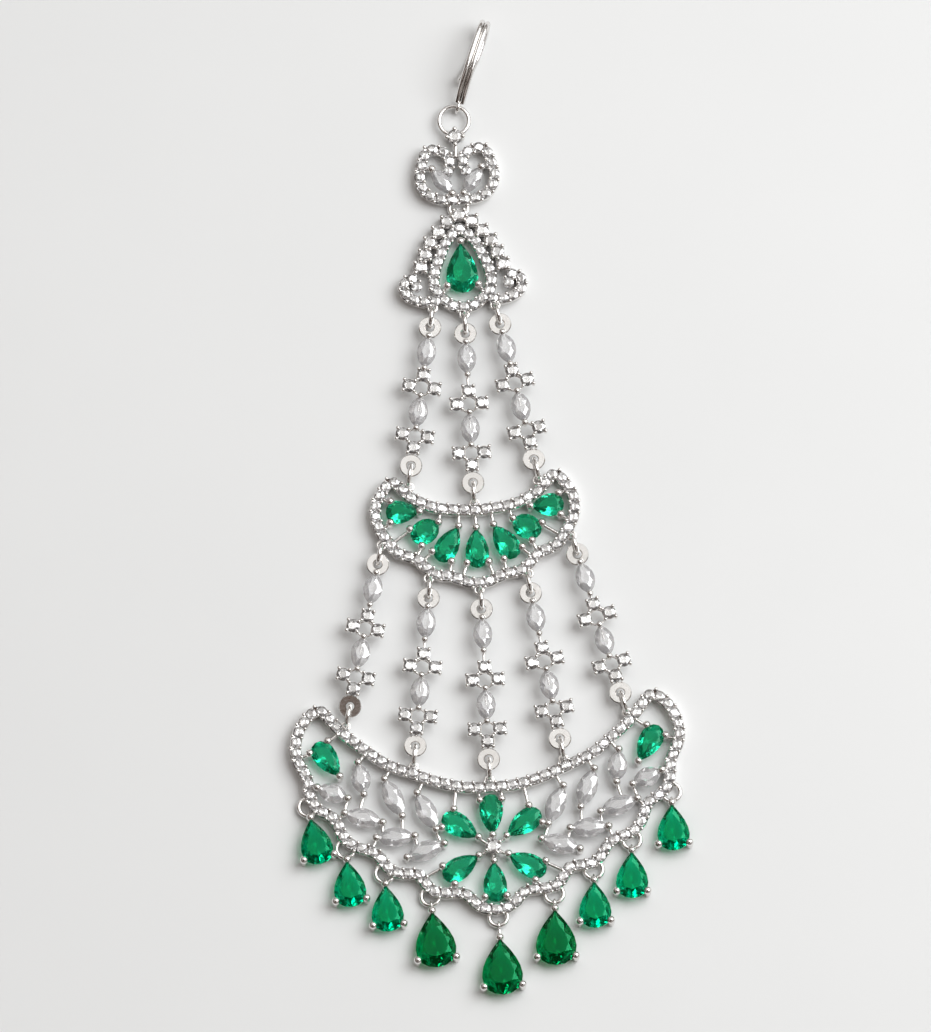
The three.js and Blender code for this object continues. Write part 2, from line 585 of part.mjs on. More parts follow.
/** A drop, made downwards from the centre of its loop's hole. */
function drop(size) {
  const down = size.neck + size.length / 2;
  const matrix = place(0, -down);
  const [loop, bore] = [
    { radius: LOOP_RADIUS, depth: LOOP_WIDTH },
    { radius: WIRE / 2 + WIRE_GAP, depth: LOOP_WIDTH + CUT_PAST },
  ].map(({ radius, depth }) => {
    const geometry = new THREE.CylinderGeometry(radius, radius, depth, EYE_SIDES);
    geometry.rotateZ(Math.PI / 2);
    return solid(geometry, place(0, 0, FLAT_RING_LEVEL));
  });
  const tail = rib(new THREE.Vector2(0, -LOOP_HOLD * LOOP_RADIUS), new THREE.Vector2(0, -down),
    FLAT_RING_LEVEL - RIB_HEIGHT / 2, FLAT_RING_LEVEL + RIB_HEIGHT / 2, LOOP_WIDTH);
  const stoneInCup = cupped(pear(size), matrix);
  return join([stoneInCup, ...prongs(pearAt, size, matrix, 0), loop, tail]).subtract(bore);
}

/** The hair hook: two wires side by side, bent back under themselves, from an eye at its near end. */
function hairHook() {
  const lobes = [1, -1].flatMap((side) => [-120, -60, 0, 60, 120].map((turn) => new THREE.Vector2(
    side * (HOOK_WIRE / 2 * Math.cos(radians(turn)) + HOOK_WIRE / 2),
    side * HOOK_WIRE / 2 * Math.sin(radians(turn)))));
  const line = new THREE.CatmullRomCurve3(HOOK_ROUTE.map((row) => new THREE.Vector3(
    0, row.along * HOOK_LENGTH, row.up * HOOK_HEIGHT)));
  const bent = new THREE.ExtrudeGeometry(new THREE.Shape(lobes),
    { steps: HOOK_STEPS, bevelEnabled: false, extrudePath: line });
  const eyeRing = ring(HOOK_EYE_RADIUS, HOOK_EYE_WIRE);
  eyeRing.rotateY(Math.PI / 2);
  return solid(bent).add(solid(eyeRing, place(0, 0, HOOK_EYE_RADIUS + HOOK_EYE_WIRE / 2)));
}

// The whole jewel, laid out from the large crescent up to the hook

const jewel = new THREE.Group();

/** Adds a mesh at its place in the jewel. */
function lay(made, x, y, z = 0, turn = 0) {
  made.position.set(x, y, z);
  made.rotation.z = radians(turn);
  jewel.add(made);
}

/** A strand with its two standing rings, between two eyes. */
function hangStrand(name, top, bottom) {
  const way = bottom.clone().sub(top);
  const distance = way.length();
  const turn = THREE.MathUtils.radToDeg(Math.atan2(way.x, -way.y));
  way.normalize();
  const washer = top.clone().addScaledVector(way, 2 * RING_RADIUS);
  lay(mesh(name, strand(distance - 4 * RING_RADIUS), METAL), washer.x, washer.y, 0, turn);
  for (const [end, from, side] of [['top', top, 1], ['bottom', bottom, -1]]) {
    const centre = from.clone().addScaledVector(way, side * RING_RADIUS);
    const standing = ring(RING_RADIUS, WIRE);
    standing.rotateY(Math.PI / 2);
    lay(mesh(`${name}_${end}_ring`, solid(standing), METAL),
      centre.x, centre.y, RING_RADIUS + WIRE / 2, turn);
  }
}

const large = largeCrescent();
const small = smallCrescent();
const teardrop = teardropMotif();
const crown = crownMotif();

const STRAND_REACH = STRAND_SPAN + 4 * RING_RADIUS;
const smallY = large.eyes[2].y + STRAND_REACH - small.below[2].y;
const teardropY = smallY + small.above[1].y + STRAND_REACH - teardrop.eyes[1].y;
const crownY = teardropY + teardrop.hang.y - crown.hang.y;
const raised = (point, y) => new THREE.Vector2(point.x, point.y + y);

lay(mesh('large_crescent', large.body, METAL), 0, 0);
lay(mesh('small_crescent', small.body, METAL), 0, smallY);
lay(mesh('teardrop_motif', teardrop.body, METAL), 0, teardropY);
lay(mesh('crown_motif', crown.body, METAL), 0, crownY);

UPPER_STRANDS.forEach((_, i) => {
  hangStrand(`upper_strand_${i + 1}`, raised(teardrop.eyes[i], teardropY), raised(small.above[i], smallY));
});
LOWER_STRANDS.forEach((_, i) => {
  hangStrand(`lower_strand_${i + 1}`, raised(small.below[i], smallY), large.eyes[i]);
});

const flatRing = () => solid(ring(LINK_RADIUS, WIRE));
lay(mesh('motif_link', flatRing(), METAL), 0, crownY + crown.hang.y, FLAT_RING_LEVEL);

DROPS.forEach((row, i) => {
  const hang = large.hangs[i];
  const way = new THREE.Vector2(0, -LINK_RADIUS).rotateAround(new THREE.Vector2(), radians(row.lay));
  lay(mesh(`drop_ring_${i + 1}`, flatRing(), METAL), hang.x, hang.y, FLAT_RING_LEVEL, row.lay);
  lay(mesh(`drop_${i + 1}`, drop(row.size), GREEN), hang.x + way.x, hang.y + way.y, 0, row.lay);
});

for (const side of [-1, 1]) {
  const name = side < 0 ? 'tip_emerald_left' : 'tip_emerald_right';
  const tip = large.spot(TIP_EMERALD, side);
  lay(mesh(name, stone(pear(CRESCENT_PEAR)), GREEN), tip.x, tip.y, 0, side * (180 + TIP_EMERALD.turn));
}
SMALL_EMERALDS.forEach((row, i) => {
  const at = small.spot(row);
  const outline = around(10, (t) => emeraldAt(row)(row.size, t));
  lay(mesh(`small_crescent_emerald_${i + 1}`, stone(outline), GREEN), at.x, smallY + at.y, 0, row.turn);
});
lay(mesh('teardrop_emerald', stone(pear(CENTRE_PEAR)), GREEN), 0, teardropY);

const hookRing = raised(crown.hookRing, crownY);
const lean = new THREE.Vector2(0, HOOK_RING_RADIUS).rotateAround(new THREE.Vector2(), -radians(HOOK_LEAN));
lay(mesh('hook_ring', solid(ring(HOOK_RING_RADIUS, WIRE)), METAL), hookRing.x, hookRing.y, HOOK_RING_LEVEL);
lay(mesh('hook', hairHook(), METAL), hookRing.x + lean.x, hookRing.y + lean.y, 0, -HOOK_LEAN);

// The origin is in the middle of the footprint, on the surface that the jewel lies on
jewel.updateMatrixWorld(true);
const box = new THREE.Box3().setFromObject(jewel, true);
jewel.position.set(-(box.min.x + box.max.x) / 2, -(box.min.y + box.max.y) / 2, -box.min.z);
jewel.updateMatrixWorld(true);

export default jewel;
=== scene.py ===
"""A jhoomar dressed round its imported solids: frames, pave rows, cut stones, jump rings and a hair hook."""
import math

import bmesh
import bpy
from mathutils import Matrix, Vector
from mathutils.geometry import interpolate_bezier


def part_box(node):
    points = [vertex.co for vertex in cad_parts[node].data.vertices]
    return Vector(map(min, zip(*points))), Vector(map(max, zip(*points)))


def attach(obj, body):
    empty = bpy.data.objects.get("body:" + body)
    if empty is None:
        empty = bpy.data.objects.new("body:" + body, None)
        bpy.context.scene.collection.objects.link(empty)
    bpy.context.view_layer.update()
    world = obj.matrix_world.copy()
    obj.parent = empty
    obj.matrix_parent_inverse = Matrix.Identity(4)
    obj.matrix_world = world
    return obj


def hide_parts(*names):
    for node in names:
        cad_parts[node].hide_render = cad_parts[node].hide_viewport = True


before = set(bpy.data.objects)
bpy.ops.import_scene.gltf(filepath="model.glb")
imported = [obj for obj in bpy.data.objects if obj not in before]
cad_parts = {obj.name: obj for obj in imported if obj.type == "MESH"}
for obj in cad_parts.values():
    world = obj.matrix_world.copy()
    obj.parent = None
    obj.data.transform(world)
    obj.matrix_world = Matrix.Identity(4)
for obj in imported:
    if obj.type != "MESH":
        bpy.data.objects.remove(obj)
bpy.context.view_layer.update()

MM = 0.001
UP = Vector((0, 0, 1))
SMOOTH_BELOW = math.radians(42)

# How the photograph was taken
PICTURE_WIDTH = 931
MM_A_PIXEL = 0.1542
SENSOR_WIDTH = 36
VIEW_FROM = 4.0
VIEW_TURN = math.radians(3)
VIEW_TILT = math.radians(14)
WINDOW_SIDE = (0.8, 0.5, 0.33)
CAMERA_SIDE = (0, -math.sin(math.radians(27)), math.cos(math.radians(27)))
VIEW_AIM = Vector((-1.5, -1.3, 1.5)) * MM

# The surrounding light's colours: by height, in patches, behind the camera, away from the window
WHITE = (1, 1, 1, 1)
WARM_WHITE = (1, 0.99, 0.97, 1)
HORIZON = [(0.0, (0.22, 0.19, 0.17, 1)), (0.25, (0.4, 0.38, 0.36, 1)), (0.45, WHITE), (1.0, WHITE)]
ROOM = [(0.0, (0.06, 0.05, 0.045, 1)), (0.42, (0.1, 0.085, 0.08, 1)), (0.48, (0.55, 0.53, 0.51, 1)),
        (0.56, (0.85, 0.84, 0.82, 1)), (0.7, WARM_WHITE), (1.0, WARM_WHITE)]
BEHIND = [(0.0, WHITE), (0.86, WHITE), (0.91, (0.12, 0.085, 0.07, 1)), (1.0, (0.1, 0.07, 0.06, 1))]
SHADE = [(0.0, (0.3, 0.24, 0.21, 1)), (0.35, (0.55, 0.5, 0.48, 1)), (0.6, WHITE), (1.0, WHITE)]
PATCH_SCALE = 3.6
SURROUND_STRENGTH = 1.12
WINDOW_AT = Vector((0.6, 0.22, 0.8))
WINDOW_SIZE = 0.9
WINDOW_POWER = 10.3
WINDOW_COLOUR = (0.98, 0.99, 1)
GROUND_HALF = 1.5

# The frames
BAND_WIDTH = 1.8 * MM
BAND_HEIGHT = 1.9 * MM
BAND_ROUND = 0.14 * MM
GROOVE = 0.16 * MM
GROOVE_SHARE = 0.5
LARGE_WIDTH = 59.2 * MM
LARGE_HEIGHT = 32.6 * MM
SMALL_WIDTH = 30.7 * MM
SMALL_HEIGHT = 17.2 * MM
TEARDROP_WIDTH = 18.6 * MM
TEARDROP_HEIGHT = 15.2 * MM
CROWN_WIDTH = 11.6 * MM
CROWN_HEIGHT = 8.3 * MM
CROWN_BAND = 1.6 * MM
CROWN_STEM = 0.4 * MM
CROWN_STONE = 2.4 * MM
SCROLL_BAND = 1.6 * MM
SCALLOP = 0.93

# The pave rows
PAVE_PITCH = 1.74 * MM
PAVE_SIZE = 1.66 * MM
PAVE_LEVEL = 1.9 * MM
BEAD_RADIUS = 0.29 * MM
BEAD_ACROSS = 0.74 * MM
STONE_LEAN = 0.11
STONE_TURN = 2.4
LEAN_STEP = 1.7
# A round stone's collet, at foot and rim, and how far out its prongs stand, as shares of its size
COLLET = (0.36, 0.45)
COLLET_GAP = 0.1
PRONG_REACH = 0.52
FLOWER_COLLET = (0.32, 0.5)
FLOWER_PRONG_REACH = 0.55
# Each strand's top washer and bottom washer lean a little
WASHER_LEANS = [
    .07, -.05, .06, -.07, .05, .07, -.05, -.16, .06, .06, .05, -.07, .05, .06, -.06, .04]

# The stones and what holds them
GIRDLE = 1.9 * MM
ROUND_SIZE = 2.15 * MM
MIDDLE_STONE = 1.1 * ROUND_SIZE
MIDDLE_STONE_TURN = math.radians(30)
PRONG_BALL = 0.66 * MM
PRONG_FOOT = 0.3 * MM
BALL_LEVEL = GIRDLE + 0.2 * MM
BALL_REACH = 0.3 * PRONG_BALL
BALL_OVERLAP = 0.4 * PRONG_BALL
BALL_HEIGHT = 0.85
POST = (0.85, 0.6)
SMALL_BALL = 0.36 * MM
SMALL_BALL_LEVEL = PAVE_LEVEL + 0.15 * MM
SEAT_SHARE = 0.97
MARQUISE_SEAT_SHARE = 1.05
SEAT_LEVEL = 0.45 * GIRDLE
SEAT_HEIGHT = 0.5 * GIRDLE
TIE_RADIUS = 0.3 * MM
TIE_LEVEL = 1 * MM
TIE_REACH = 4 * MM
RIM_WIRE = 0.2 * MM
MARQUISE_WIDTH = 3.1 * MM
MARQUISE_CUT = {"crown": 0.17, "depth": 0.3, "table": 0.45}
MARQUISE_FULLNESS = 1.4
PEAR_FULLNESS = 0.77
PETAL_FULLNESS = 0.89
PETAL_POINT = 0.6
PEAR_CENTRE = -0.06
# Shares of a cut stone: its girdle's thickness, the corners half way up its crown and down its pavilion
GIRDLE_SHARE = 0.03
CROWN_BULGE = 0.02
CROWN_CORNERS = 0.62
PAVILION_CORNERS = 0.55
CULET = 0.1
CRESCENT_PEAR = (3.9 * MM, 6.3 * MM)
CENTRE_PEAR = (5 * MM, 8 * MM)
# Where a stone's prongs stand, in degrees round from its tip
PRONG_TURNS = (0, 131, 229)

# The rings, strands, drops and hook
WIRE = 0.7 * MM
RING_RADIUS = 1.6 * MM
LINK_RADIUS = 1.4 * MM
LINK_REACH = 0.35 * MM
EYE_REACH = 0.2 * MM
EYE_RADIUS = 0.66 * MM
EYE_WIRE = 0.4 * MM
EYE_LEVEL = BAND_HEIGHT - EYE_WIRE
STRAND_SPAN = 23.8 * MM
STRAND_MARQUISE = (3 * MM, 4.8 * MM)
UPPER_MARQUISE = 4.1 * MM
UPPER_FLOWER = 11.3 * MM
LOWER_MARQUISE = 15.3 * MM
LOWER_FLOWER = 19.1 * MM
PETAL_REACH = 1.95 * MM
WASHER_OUTER = 1.75 * MM
WASHER_INNER = 0.65 * MM
WASHER_THICKNESS = 0.4 * MM
WASHER_EDGE = 0.13 * MM
WASHER_HOLD = 0.9 * WASHER_OUTER
STRAND_GIRDLE = 2.5 * MM
STRAND_WALL = 0.8 * MM
STRAND_BAR = 0.24 * MM
MARQUISE_END = 2.2 * MM
STRAND_FOOT = STRAND_GIRDLE - 0.8 * MM
STRAND_BALL = 0.55 * MM
STRAND_BALL_LEVEL = STRAND_GIRDLE + 0.15 * MM
STRAND_SMALL_BALL = 0.32 * MM
STRAND_SMALL_LEVEL = STRAND_GIRDLE + 0.1 * MM
STRAND_SEAT_SHARE = 0.98
STRAND_SEAT_LEVEL = STRAND_GIRDLE - STRAND_WALL - 0.05 * MM
FLOWER_COLLET_LEVEL = STRAND_GIRDLE - 0.5 * MM
FLOWER_STONE_LEVEL = STRAND_GIRDLE - 0.1 * MM
FLOWER_EDGE = 1 * MM
FLOWER_WIRE = 0.34 * MM
FLOWER_RADIUS = 0.62 * PETAL_REACH
DROP_WIDTH = 5 * MM
SMALL_DROP = (DROP_WIDTH, 1.46 * DROP_WIDTH, 0.15 * DROP_WIDTH)
BIG_DROP = (1.26 * DROP_WIDTH, 1.74 * DROP_WIDTH, 0.27 * DROP_WIDTH)
MIDDLE_DROP = (1.26 * DROP_WIDTH, 1.76 * DROP_WIDTH, 0.46 * DROP_WIDTH)
DROP_LOOP_RADIUS = 0.55 * MM
DROP_LOOP_WIRE = 0.36 * MM
DROP_STEM_START = 0.6 * MM
DROP_STEM_REACH = 0.8 * MM
HOOK_LENGTH = 13.9 * MM
HOOK_HEIGHT = 5.2 * MM
HOOK_WIRE = 0.86 * MM
HOOK_TAIL_SHIFT = 0.7 * MM
HOOK_TAIL_SHARES = (0.3, 0.7, 1)
HOOK_LEAN = math.radians(20.7)
HOOK_RING_RADIUS = 2.3 * MM
HOOK_RING_RISE = 0.45 * MM
HOOK_EYE_RADIUS = 0.8 * MM
HOOK_EYE_WIRE = 0.6 * MM
HOOK_STEP = 0.5 * MM

# Half borders, from the bottom round to the top: (across as a share of half the width, up of the height)
LARGE_BORDER = [
    (0, -.305), (.085, -.285), (.155, -.222), (.215, -.214), (.275, -.212), (.322, -.2), (.362, -.158),
    (.392, -.118), (.43, -.111), (.493, -.108), (.554, -.074), (.594, -.018), (.65, .013), (.709, .03),
    (.753, .06), (.784, .101), (.8, .142), (.828, .184), (.878, .21), (.922, .251), (.94, .314),
    (.946, .376), (.966, .416), (.99, .462), (1, .509), (.993, .56), (.975, .609), (.942, .655), (.9, .69),
    (.862, .7), (.824, .667), (.747, .582), (.642, .5), (.53, .424), (.405, .375), (.27, .326),
    (.142, .296), (0, .289)]
SMALL_BORDER = [
    (0, -.3), (.07, -.297), (.17, -.262), (.29, -.222), (.41, -.21), (.52, -.14), (.605, -.06),
    (.69, -.025), (.8, .01), (.87, .095), (.93, .175), (.98, .265), (1, .36), (.995, .445), (.965, .52),
    (.905, .6), (.825, .67), (.735, .605), (.655, .53), (.555, .475), (.44, .425), (.32, .397),
    (.21, .385), (.11, .378), (0, .37)]
HALO_BORDER = [
    (0, -.408), (.2, -.38), (.345, -.305), (.455, -.215), (.475, -.11), (.44, .01), (.345, .14),
    (.265, .26), (.155, .345), (0, .42)]
CROWN_BORDER = [
    (0, -.47), (.33, -.46), (.54, -.43), (.77, -.36), (.94, -.2), (1, -.03), (.965, .15), (.88, .34),
    (.77, .5), (.53, .51), (.32, .45), (.175, .31), (.18, .19), (.25, .08)]

# Inside the frames: (across, up, turn from +Y in degrees, length from ball to ball in mm)
LARGE_MARQUISES = [
    (.668, .359, 7, 5), (.819, .296, 67, 4.9), (.664, .168, 73, 5.9), (.505, .259, 22, 6.3),
    (.504, .068, 90, 5.8), (.336, .185, 24, 6.3), (.351, -.005, -72, 6)]
TIP_EMERALD = (.838, .462, -32)
LEAF_RESTS = {0: 2, 1: 2, 2: 4, 3: 4, 4: 6, 5: 6}
LEAF_HOLD = 0.35
PETALS = [(180, 5.1), (125, 6), (-125, 6), (59, 6), (-59, 6), (0, 5.7)]
# The small crescent's emeralds: (across, up, turn in degrees, width and length in mm, outline)
SMALL_EMERALDS = [
    (-.735, .382, -92, 3.9, 5, "petal"), (-.515, .192, -58, 3.9, 4.7, "oval"),
    (-.285, .062, -31, 3.9, 6.1, "petal"), (0, .012, 0, 3.9, 6.2, "petal"),
    (.285, .062, 31, 3.9, 6.1, "petal"), (.515, .192, 58, 3.9, 4.7, "oval"),
    (.735, .382, 92, 3.9, 5, "petal")]
OPEN_STONES = [(0, .555), (.205, .49), (.365, .385), (.505, .28), (.605, .155), (.69, .025)]
SCROLL = [
    (.765, -.18), (.8, -.095), (.9, -.09), (.985, -.165), (.945, -.26), (.81, -.31), (.68, -.34),
    (.48, -.33)]
CROWN_STONES = (.41, -.11, 36)
CROWN_STONE_CUT = (2.5 * MM, 4.9 * MM)
CROWN_BRIDGE = (.32, .38)
# The bars of the crown's marquises: from which end, and to where on the band
CROWN_TIE_START = Vector((1.3, 2, 0)) * MM
CROWN_TIES = [(-1, (.1, -.47)), (1, (.95, .2))]

# Where the strands hang from each frame, and the drops: (across, up) shares, and each drop's lay in degrees
STRANDS = [f"upper_strand_{i}" for i in (1, 2, 3)] + [f"lower_strand_{i}" for i in (1, 2, 3, 4, 5)]
UPPER_FROM = [(-.52, -.33), (0, -.408), (.52, -.33)]
UPPER_TO = [(-.72, .56), (0, .37), (.72, .56)]
LOWER_FROM = [(-.9, .125), (-.46, -.19), (0, -.3), (.46, -.19), (.9, .125)]
LOWER_TO = [(-.76, .59), (-.405, .375), (0, .289), (.405, .375), (.76, .59)]
DROP_LAYS = [9, 3, 1, 3, 1, -1, -1, -2.5, 0]
DROP_SIZES = {4: BIG_DROP, 5: MIDDLE_DROP, 6: BIG_DROP}

# The hook's line: (share of its length, share of its height)
HOOK_ROUTE = [
    (.05, .3), (.14, .52), (.3, .8), (.5, .93), (.72, .93), (.88, .85), (.97, .65), (.97, .4), (.88, .17),
    (.72, .09), (.5, .09), (.36, .14), (.27, .27)]


def centre_of(node):
    """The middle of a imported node's box."""
    low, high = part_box(node)
    return (Vector(low) + Vector(high)) / 2


def turned(place, turn=0.0):
    """The matrix of a piece turned about Z and laid at a place."""
    return Matrix.Translation(place) @ Matrix.Rotation(turn, 4, "Z")


# Materials

class Value:
    """A number or colour that a node gives, so that shader maths reads as Python."""

    def __init__(self, graph, socket):
        self.graph = graph
        self.socket = socket

    def __add__(self, other):
        return self.graph.maths("ADD", self, other)

    def __mul__(self, other):
        return self.graph.maths("MULTIPLY", self, other)

    __radd__ = __add__
    __rmul__ = __mul__


class Graph:
    """The nodes of one material or of the world."""

    def __init__(self, tree):
        self.tree = tree
        tree.nodes.clear()

    def node(self, kind, settings=None, inputs=None, output=0):
        """Any node: its settings are set first, then the values or links of its sockets."""
        made = self.tree.nodes.new(kind)
        for name, value in (settings or {}).items():
            if name == "stops":
                made.color_ramp.elements[0].position, made.color_ramp.elements[0].color = value[0]
                made.color_ramp.elements[1].position, made.color_ramp.elements[1].color = value[-1]
                for position, colour in value[1:-1]:
                    made.color_ramp.elements.new(position).color = colour
            else:
                setattr(made, name, value)
        for key, value in (inputs or {}).items():
            if isinstance(value, Value):
                self.tree.links.new(value.socket, made.inputs[key])
            else:
                made.inputs[key].default_value = value
        return Value(self, made.outputs[output]) if made.outputs else None

    def maths(self, operation, first, second):
        return self.node("ShaderNodeMath", {"operation": operation}, {0: first, 1: second})

    def noise(self, scale):
        place = self.node("ShaderNodeTexCoord", output="Object")
        return self.node("ShaderNodeTexNoise", None, {"Vector": place, "Scale": scale, "Detail": 3.0})

    def between(self, mask, low, high):
        inputs = {"Factor": mask, 6: low, 7: high}
        return self.node("ShaderNodeMix", {"data_type": "RGBA"}, inputs, output=2)

    def ramp(self, stops, factor):
        return self.node("ShaderNodeValToRGB", {"stops": stops}, {0: factor})

    def vectors(self, operation, first, second, output=0):
        return self.node("ShaderNodeVectorMath", {"operation": operation}, {0: first, 1: second}, output)


def finish(name, base, rough, settings, bump=None):
    """A Principled material: base and rough are functions of the graph, settings are fixed sockets."""
    made = bpy.data.materials.new(name)
    made.use_nodes = True
    graph = Graph(made.node_tree)
    inputs = dict(settings)
    inputs["Base Color"] = base(graph)
    inputs["Roughness"] = rough(graph)
    if bump:
        scale, depth = bump
        inputs["Normal"] = graph.node("ShaderNodeBump", None,
                                      {"Height": graph.noise(scale), "Distance": depth, "Strength": 0.6})
    shader = graph.node("ShaderNodeBsdfPrincipled", None, inputs)
    graph.node("ShaderNodeOutputMaterial", None, {"Surface": shader})
    return made


plating = finish(
    "plated_silver",
    lambda g: g.between(g.noise(500), (0.74, 0.715, 0.69, 1), (0.92, 0.91, 0.9, 1)),
    lambda g: 0.09 + 0.1 * g.noise(900),
    {"Metallic": 1.0}, bump=(1600, 0.02 * MM))
frame_green = finish(
    "frame_emerald",
    lambda g: g.between(g.noise(260), (0.0, 0.5, 0.24, 1), (0.03, 0.7, 0.38, 1)),
    lambda g: 0.01 + 0.02 * g.noise(700),
    {"Transmission Weight": 0.92, "IOR": 1.6, "Specular IOR Level": 0.35,
     "Specular Tint": (0.25, 1, 0.6, 1)})
drop_green = finish(
    "drop_emerald",
    lambda g: g.between(g.noise(220), (0.0, 0.42, 0.17, 1), (0.0, 0.66, 0.3, 1)),
    lambda g: 0.01 + 0.02 * g.noise(700),
    {"Transmission Weight": 0.94, "IOR": 1.65, "Specular IOR Level": 0.3,
     "Specular Tint": (0.1, 1, 0.5, 1)})
deep_green = finish(
    "deep_emerald",
    lambda g: g.between(g.noise(220), (0.0, 0.27, 0.06, 1), (0.0, 0.42, 0.12, 1)),
    lambda g: 0.01 + 0.02 * g.noise(700),
    {"Transmission Weight": 0.94, "IOR": 1.65, "Specular IOR Level": 0.3,
     "Specular Tint": (0.1, 1, 0.45, 1)})
pave_clear = finish(
    "pave_stone",
    lambda g: g.between(g.noise(300), (0.97, 0.97, 0.98, 1), (1, 1, 1, 1)),
    lambda g: 0.01 + 0.02 * g.noise(700),
    {"Transmission Weight": 0.84, "IOR": 2.2, "Metallic": 0.28})
milky_clear = finish(
    "milky_marquise",
    lambda g: g.between(g.noise(300), (0.95, 0.95, 0.97, 1), (1, 1, 1, 1)),
    lambda g: 0.02 + 0.03 * g.noise(500),
    {"Transmission Weight": 0.71, "IOR": 1.85, "Metallic": 0.16})
ground = finish(
    "pale_ground",
    lambda g: g.between(g.noise(18), (0.79, 0.8, 0.8, 1), (0.83, 0.84, 0.84, 1)),
    lambda g: 0.6 + 0.1 * g.noise(60),
    {})


# Small shapes that are used many times

def kept(bm):
    """A finished small shape as a mesh, to be laid many times."""
    made = bpy.data.meshes.new("small_shape")
    bmesh.ops.recalc_face_normals(bm, faces=bm.faces)
    bm.to_mesh(made)
    bm.free()
    return made


def lay(bm, shape, matrix):
    """Adds a small shape at its place."""
    shape.transform(matrix)
    bm.from_mesh(shape)
    shape.transform(matrix.inverted())


def leaning(i):
    """A small lean and turn, the same each run, that sets each little stone apart from its neighbours."""
    lean = STONE_LEAN * math.sin(LEAN_STEP * i)
    return Matrix.Rotation(STONE_TURN * i, 4, "Z") @ Matrix.Rotation(lean, 4, "X")


def ball(radius):
    """A slightly flattened ball."""
    bm = bmesh.new()
    bmesh.ops.create_uvsphere(bm, u_segments=14, v_segments=9, radius=radius)
    bmesh.ops.scale(bm, vec=(1, 1, BALL_HEIGHT), verts=bm.verts)
    return kept(bm)


def prong(radius, low, high):
    """A tapered post from low to high with a ball on its top."""
    bm = bmesh.new()
    foot, neck = POST
    bmesh.ops.create_cone(bm, cap_ends=True, segments=12, radius1=foot * radius, radius2=neck * radius,
                          depth=high - low, matrix=Matrix.Translation((0, 0, (low + high) / 2)))
    bmesh.ops.create_uvsphere(bm, u_segments=14, v_segments=9, radius=radius,
                              matrix=Matrix.Translation((0, 0, high)))
    return kept(bm)


def wire_ring(radius, wire, steps=40):
    """A ring of wire lying flat, made by a full spin."""
    bm = bmesh.new()
    upright = Matrix.Translation((radius, 0, 0)) @ Matrix.Rotation(math.pi / 2, 4, "X")
    bmesh.ops.create_circle(bm, segments=12, radius=wire / 2, matrix=upright)
    bmesh.ops.spin(bm, geom=bm.edges[:], axis=UP, cent=(0, 0, 0), angle=math.tau, steps=steps,
                   use_merge=True)
    return kept(bm)


def outline(kind, width, length, turn):
    """A stone's outline: the place at a turn from its tip, which is on +Y."""
    x = -width / 2 * math.sin(turn)
    if kind == "pear":
        x *= math.sin(turn / 2) / PEAR_FULLNESS
    if kind == "petal":
        x *= math.sin(turn / 2) ** PETAL_POINT / PETAL_FULLNESS
    if kind == "marquise":
        x *= abs(math.sin(turn)) ** (MARQUISE_FULLNESS - 1)
    return Vector((x, length / 2 * math.cos(turn), 0))


def corners(kind, width, length, count, share=1.0, level=0.0, start=0.0):
    """Places round an outline that is drawn in by a share, at a level."""
    turns = [math.tau * (i + start) / count for i in range(count)]
    centre = Vector((0, PEAR_CENTRE * length, 0)) if kind in ("pear", "petal") else Vector()
    return [centre.lerp(outline(kind, width, length, t), share) + level * UP for t in turns]


def cut_stone(kind, width, length, sides=8, crown=0.15, depth=0.36, table=0.6):
    """A cut stone about its girdle: table, crown and girdle facets, then pavilion facets to a culet."""
    bm = bmesh.new()
    high = crown * width
    low = -depth * width
    places = corners(kind, width, length, 2 * sides)
    places += corners(kind, width, length, 2 * sides, level=-GIRDLE_SHARE * width)
    places += corners(kind, width, length, sides, table, high)
    places += corners(kind, width, length, sides, (1 + table) / 2 + CROWN_BULGE, CROWN_CORNERS * high, 0.5)
    places += corners(kind, width, length, sides, PAVILION_CORNERS, PAVILION_CORNERS * low, 0.5)
    places += corners(kind, width, length, 2, CULET, low)
    for place in places:
        bm.verts.new(place)
    bmesh.ops.remove_doubles(bm, verts=bm.verts, dist=1e-7)
    hull = bmesh.ops.convex_hull(bm, input=bm.verts)
    inside = [v for v in hull["geom_interior"] if isinstance(v, bmesh.types.BMVert)]
    bmesh.ops.delete(bm, geom=inside, context="VERTS")
    return kept(bm)


def thin_wall(kind, width, length, share, height):
    """A thin wall that stands along a stone's outline, drawn in by a share."""
    bm = bmesh.new()
    bm.faces.new([bm.verts.new(place) for place in corners(kind, width, length, 40, share)])
    inset = bmesh.ops.inset_region(bm, faces=bm.faces[:], thickness=RIM_WIRE)
    bmesh.ops.delete(bm, geom=[f for f in bm.faces if f not in inset["faces"]], context="FACES")
    grown = bmesh.ops.extrude_face_region(bm, geom=bm.faces[:])["geom"]
    grown = [v for v in grown if isinstance(v, bmesh.types.BMVert)]
    bmesh.ops.translate(bm, vec=height * UP, verts=grown)
    return kept(bm)


def flat_washer():
    """A flat ring with small cut edges."""
    bm = bmesh.new()
    half = WASHER_THICKNESS / 2
    profile = [(WASHER_INNER, -half), (WASHER_OUTER, -half), (WASHER_OUTER, half), (WASHER_INNER, half)]
    ring = [bm.verts.new((x, 0, z)) for x, z in profile]
    section = [bm.edges.new((ring[i - 1], ring[i])) for i in range(4)]
    bmesh.ops.spin(bm, geom=section, axis=UP, cent=(0, 0, 0), angle=math.tau, steps=36, use_merge=True)
    rims = [e for e in bm.edges if abs(e.verts[0].co.z - e.verts[1].co.z) < 1e-9
            and abs(e.verts[0].co.xy.length - e.verts[1].co.xy.length) < 1e-6]
    bmesh.ops.bevel(bm, geom=rims, offset=WASHER_EDGE, segments=1, affect="EDGES", profile=0.5,
                    material=-1)
    return kept(bm)


# Lines and what is drawn along them

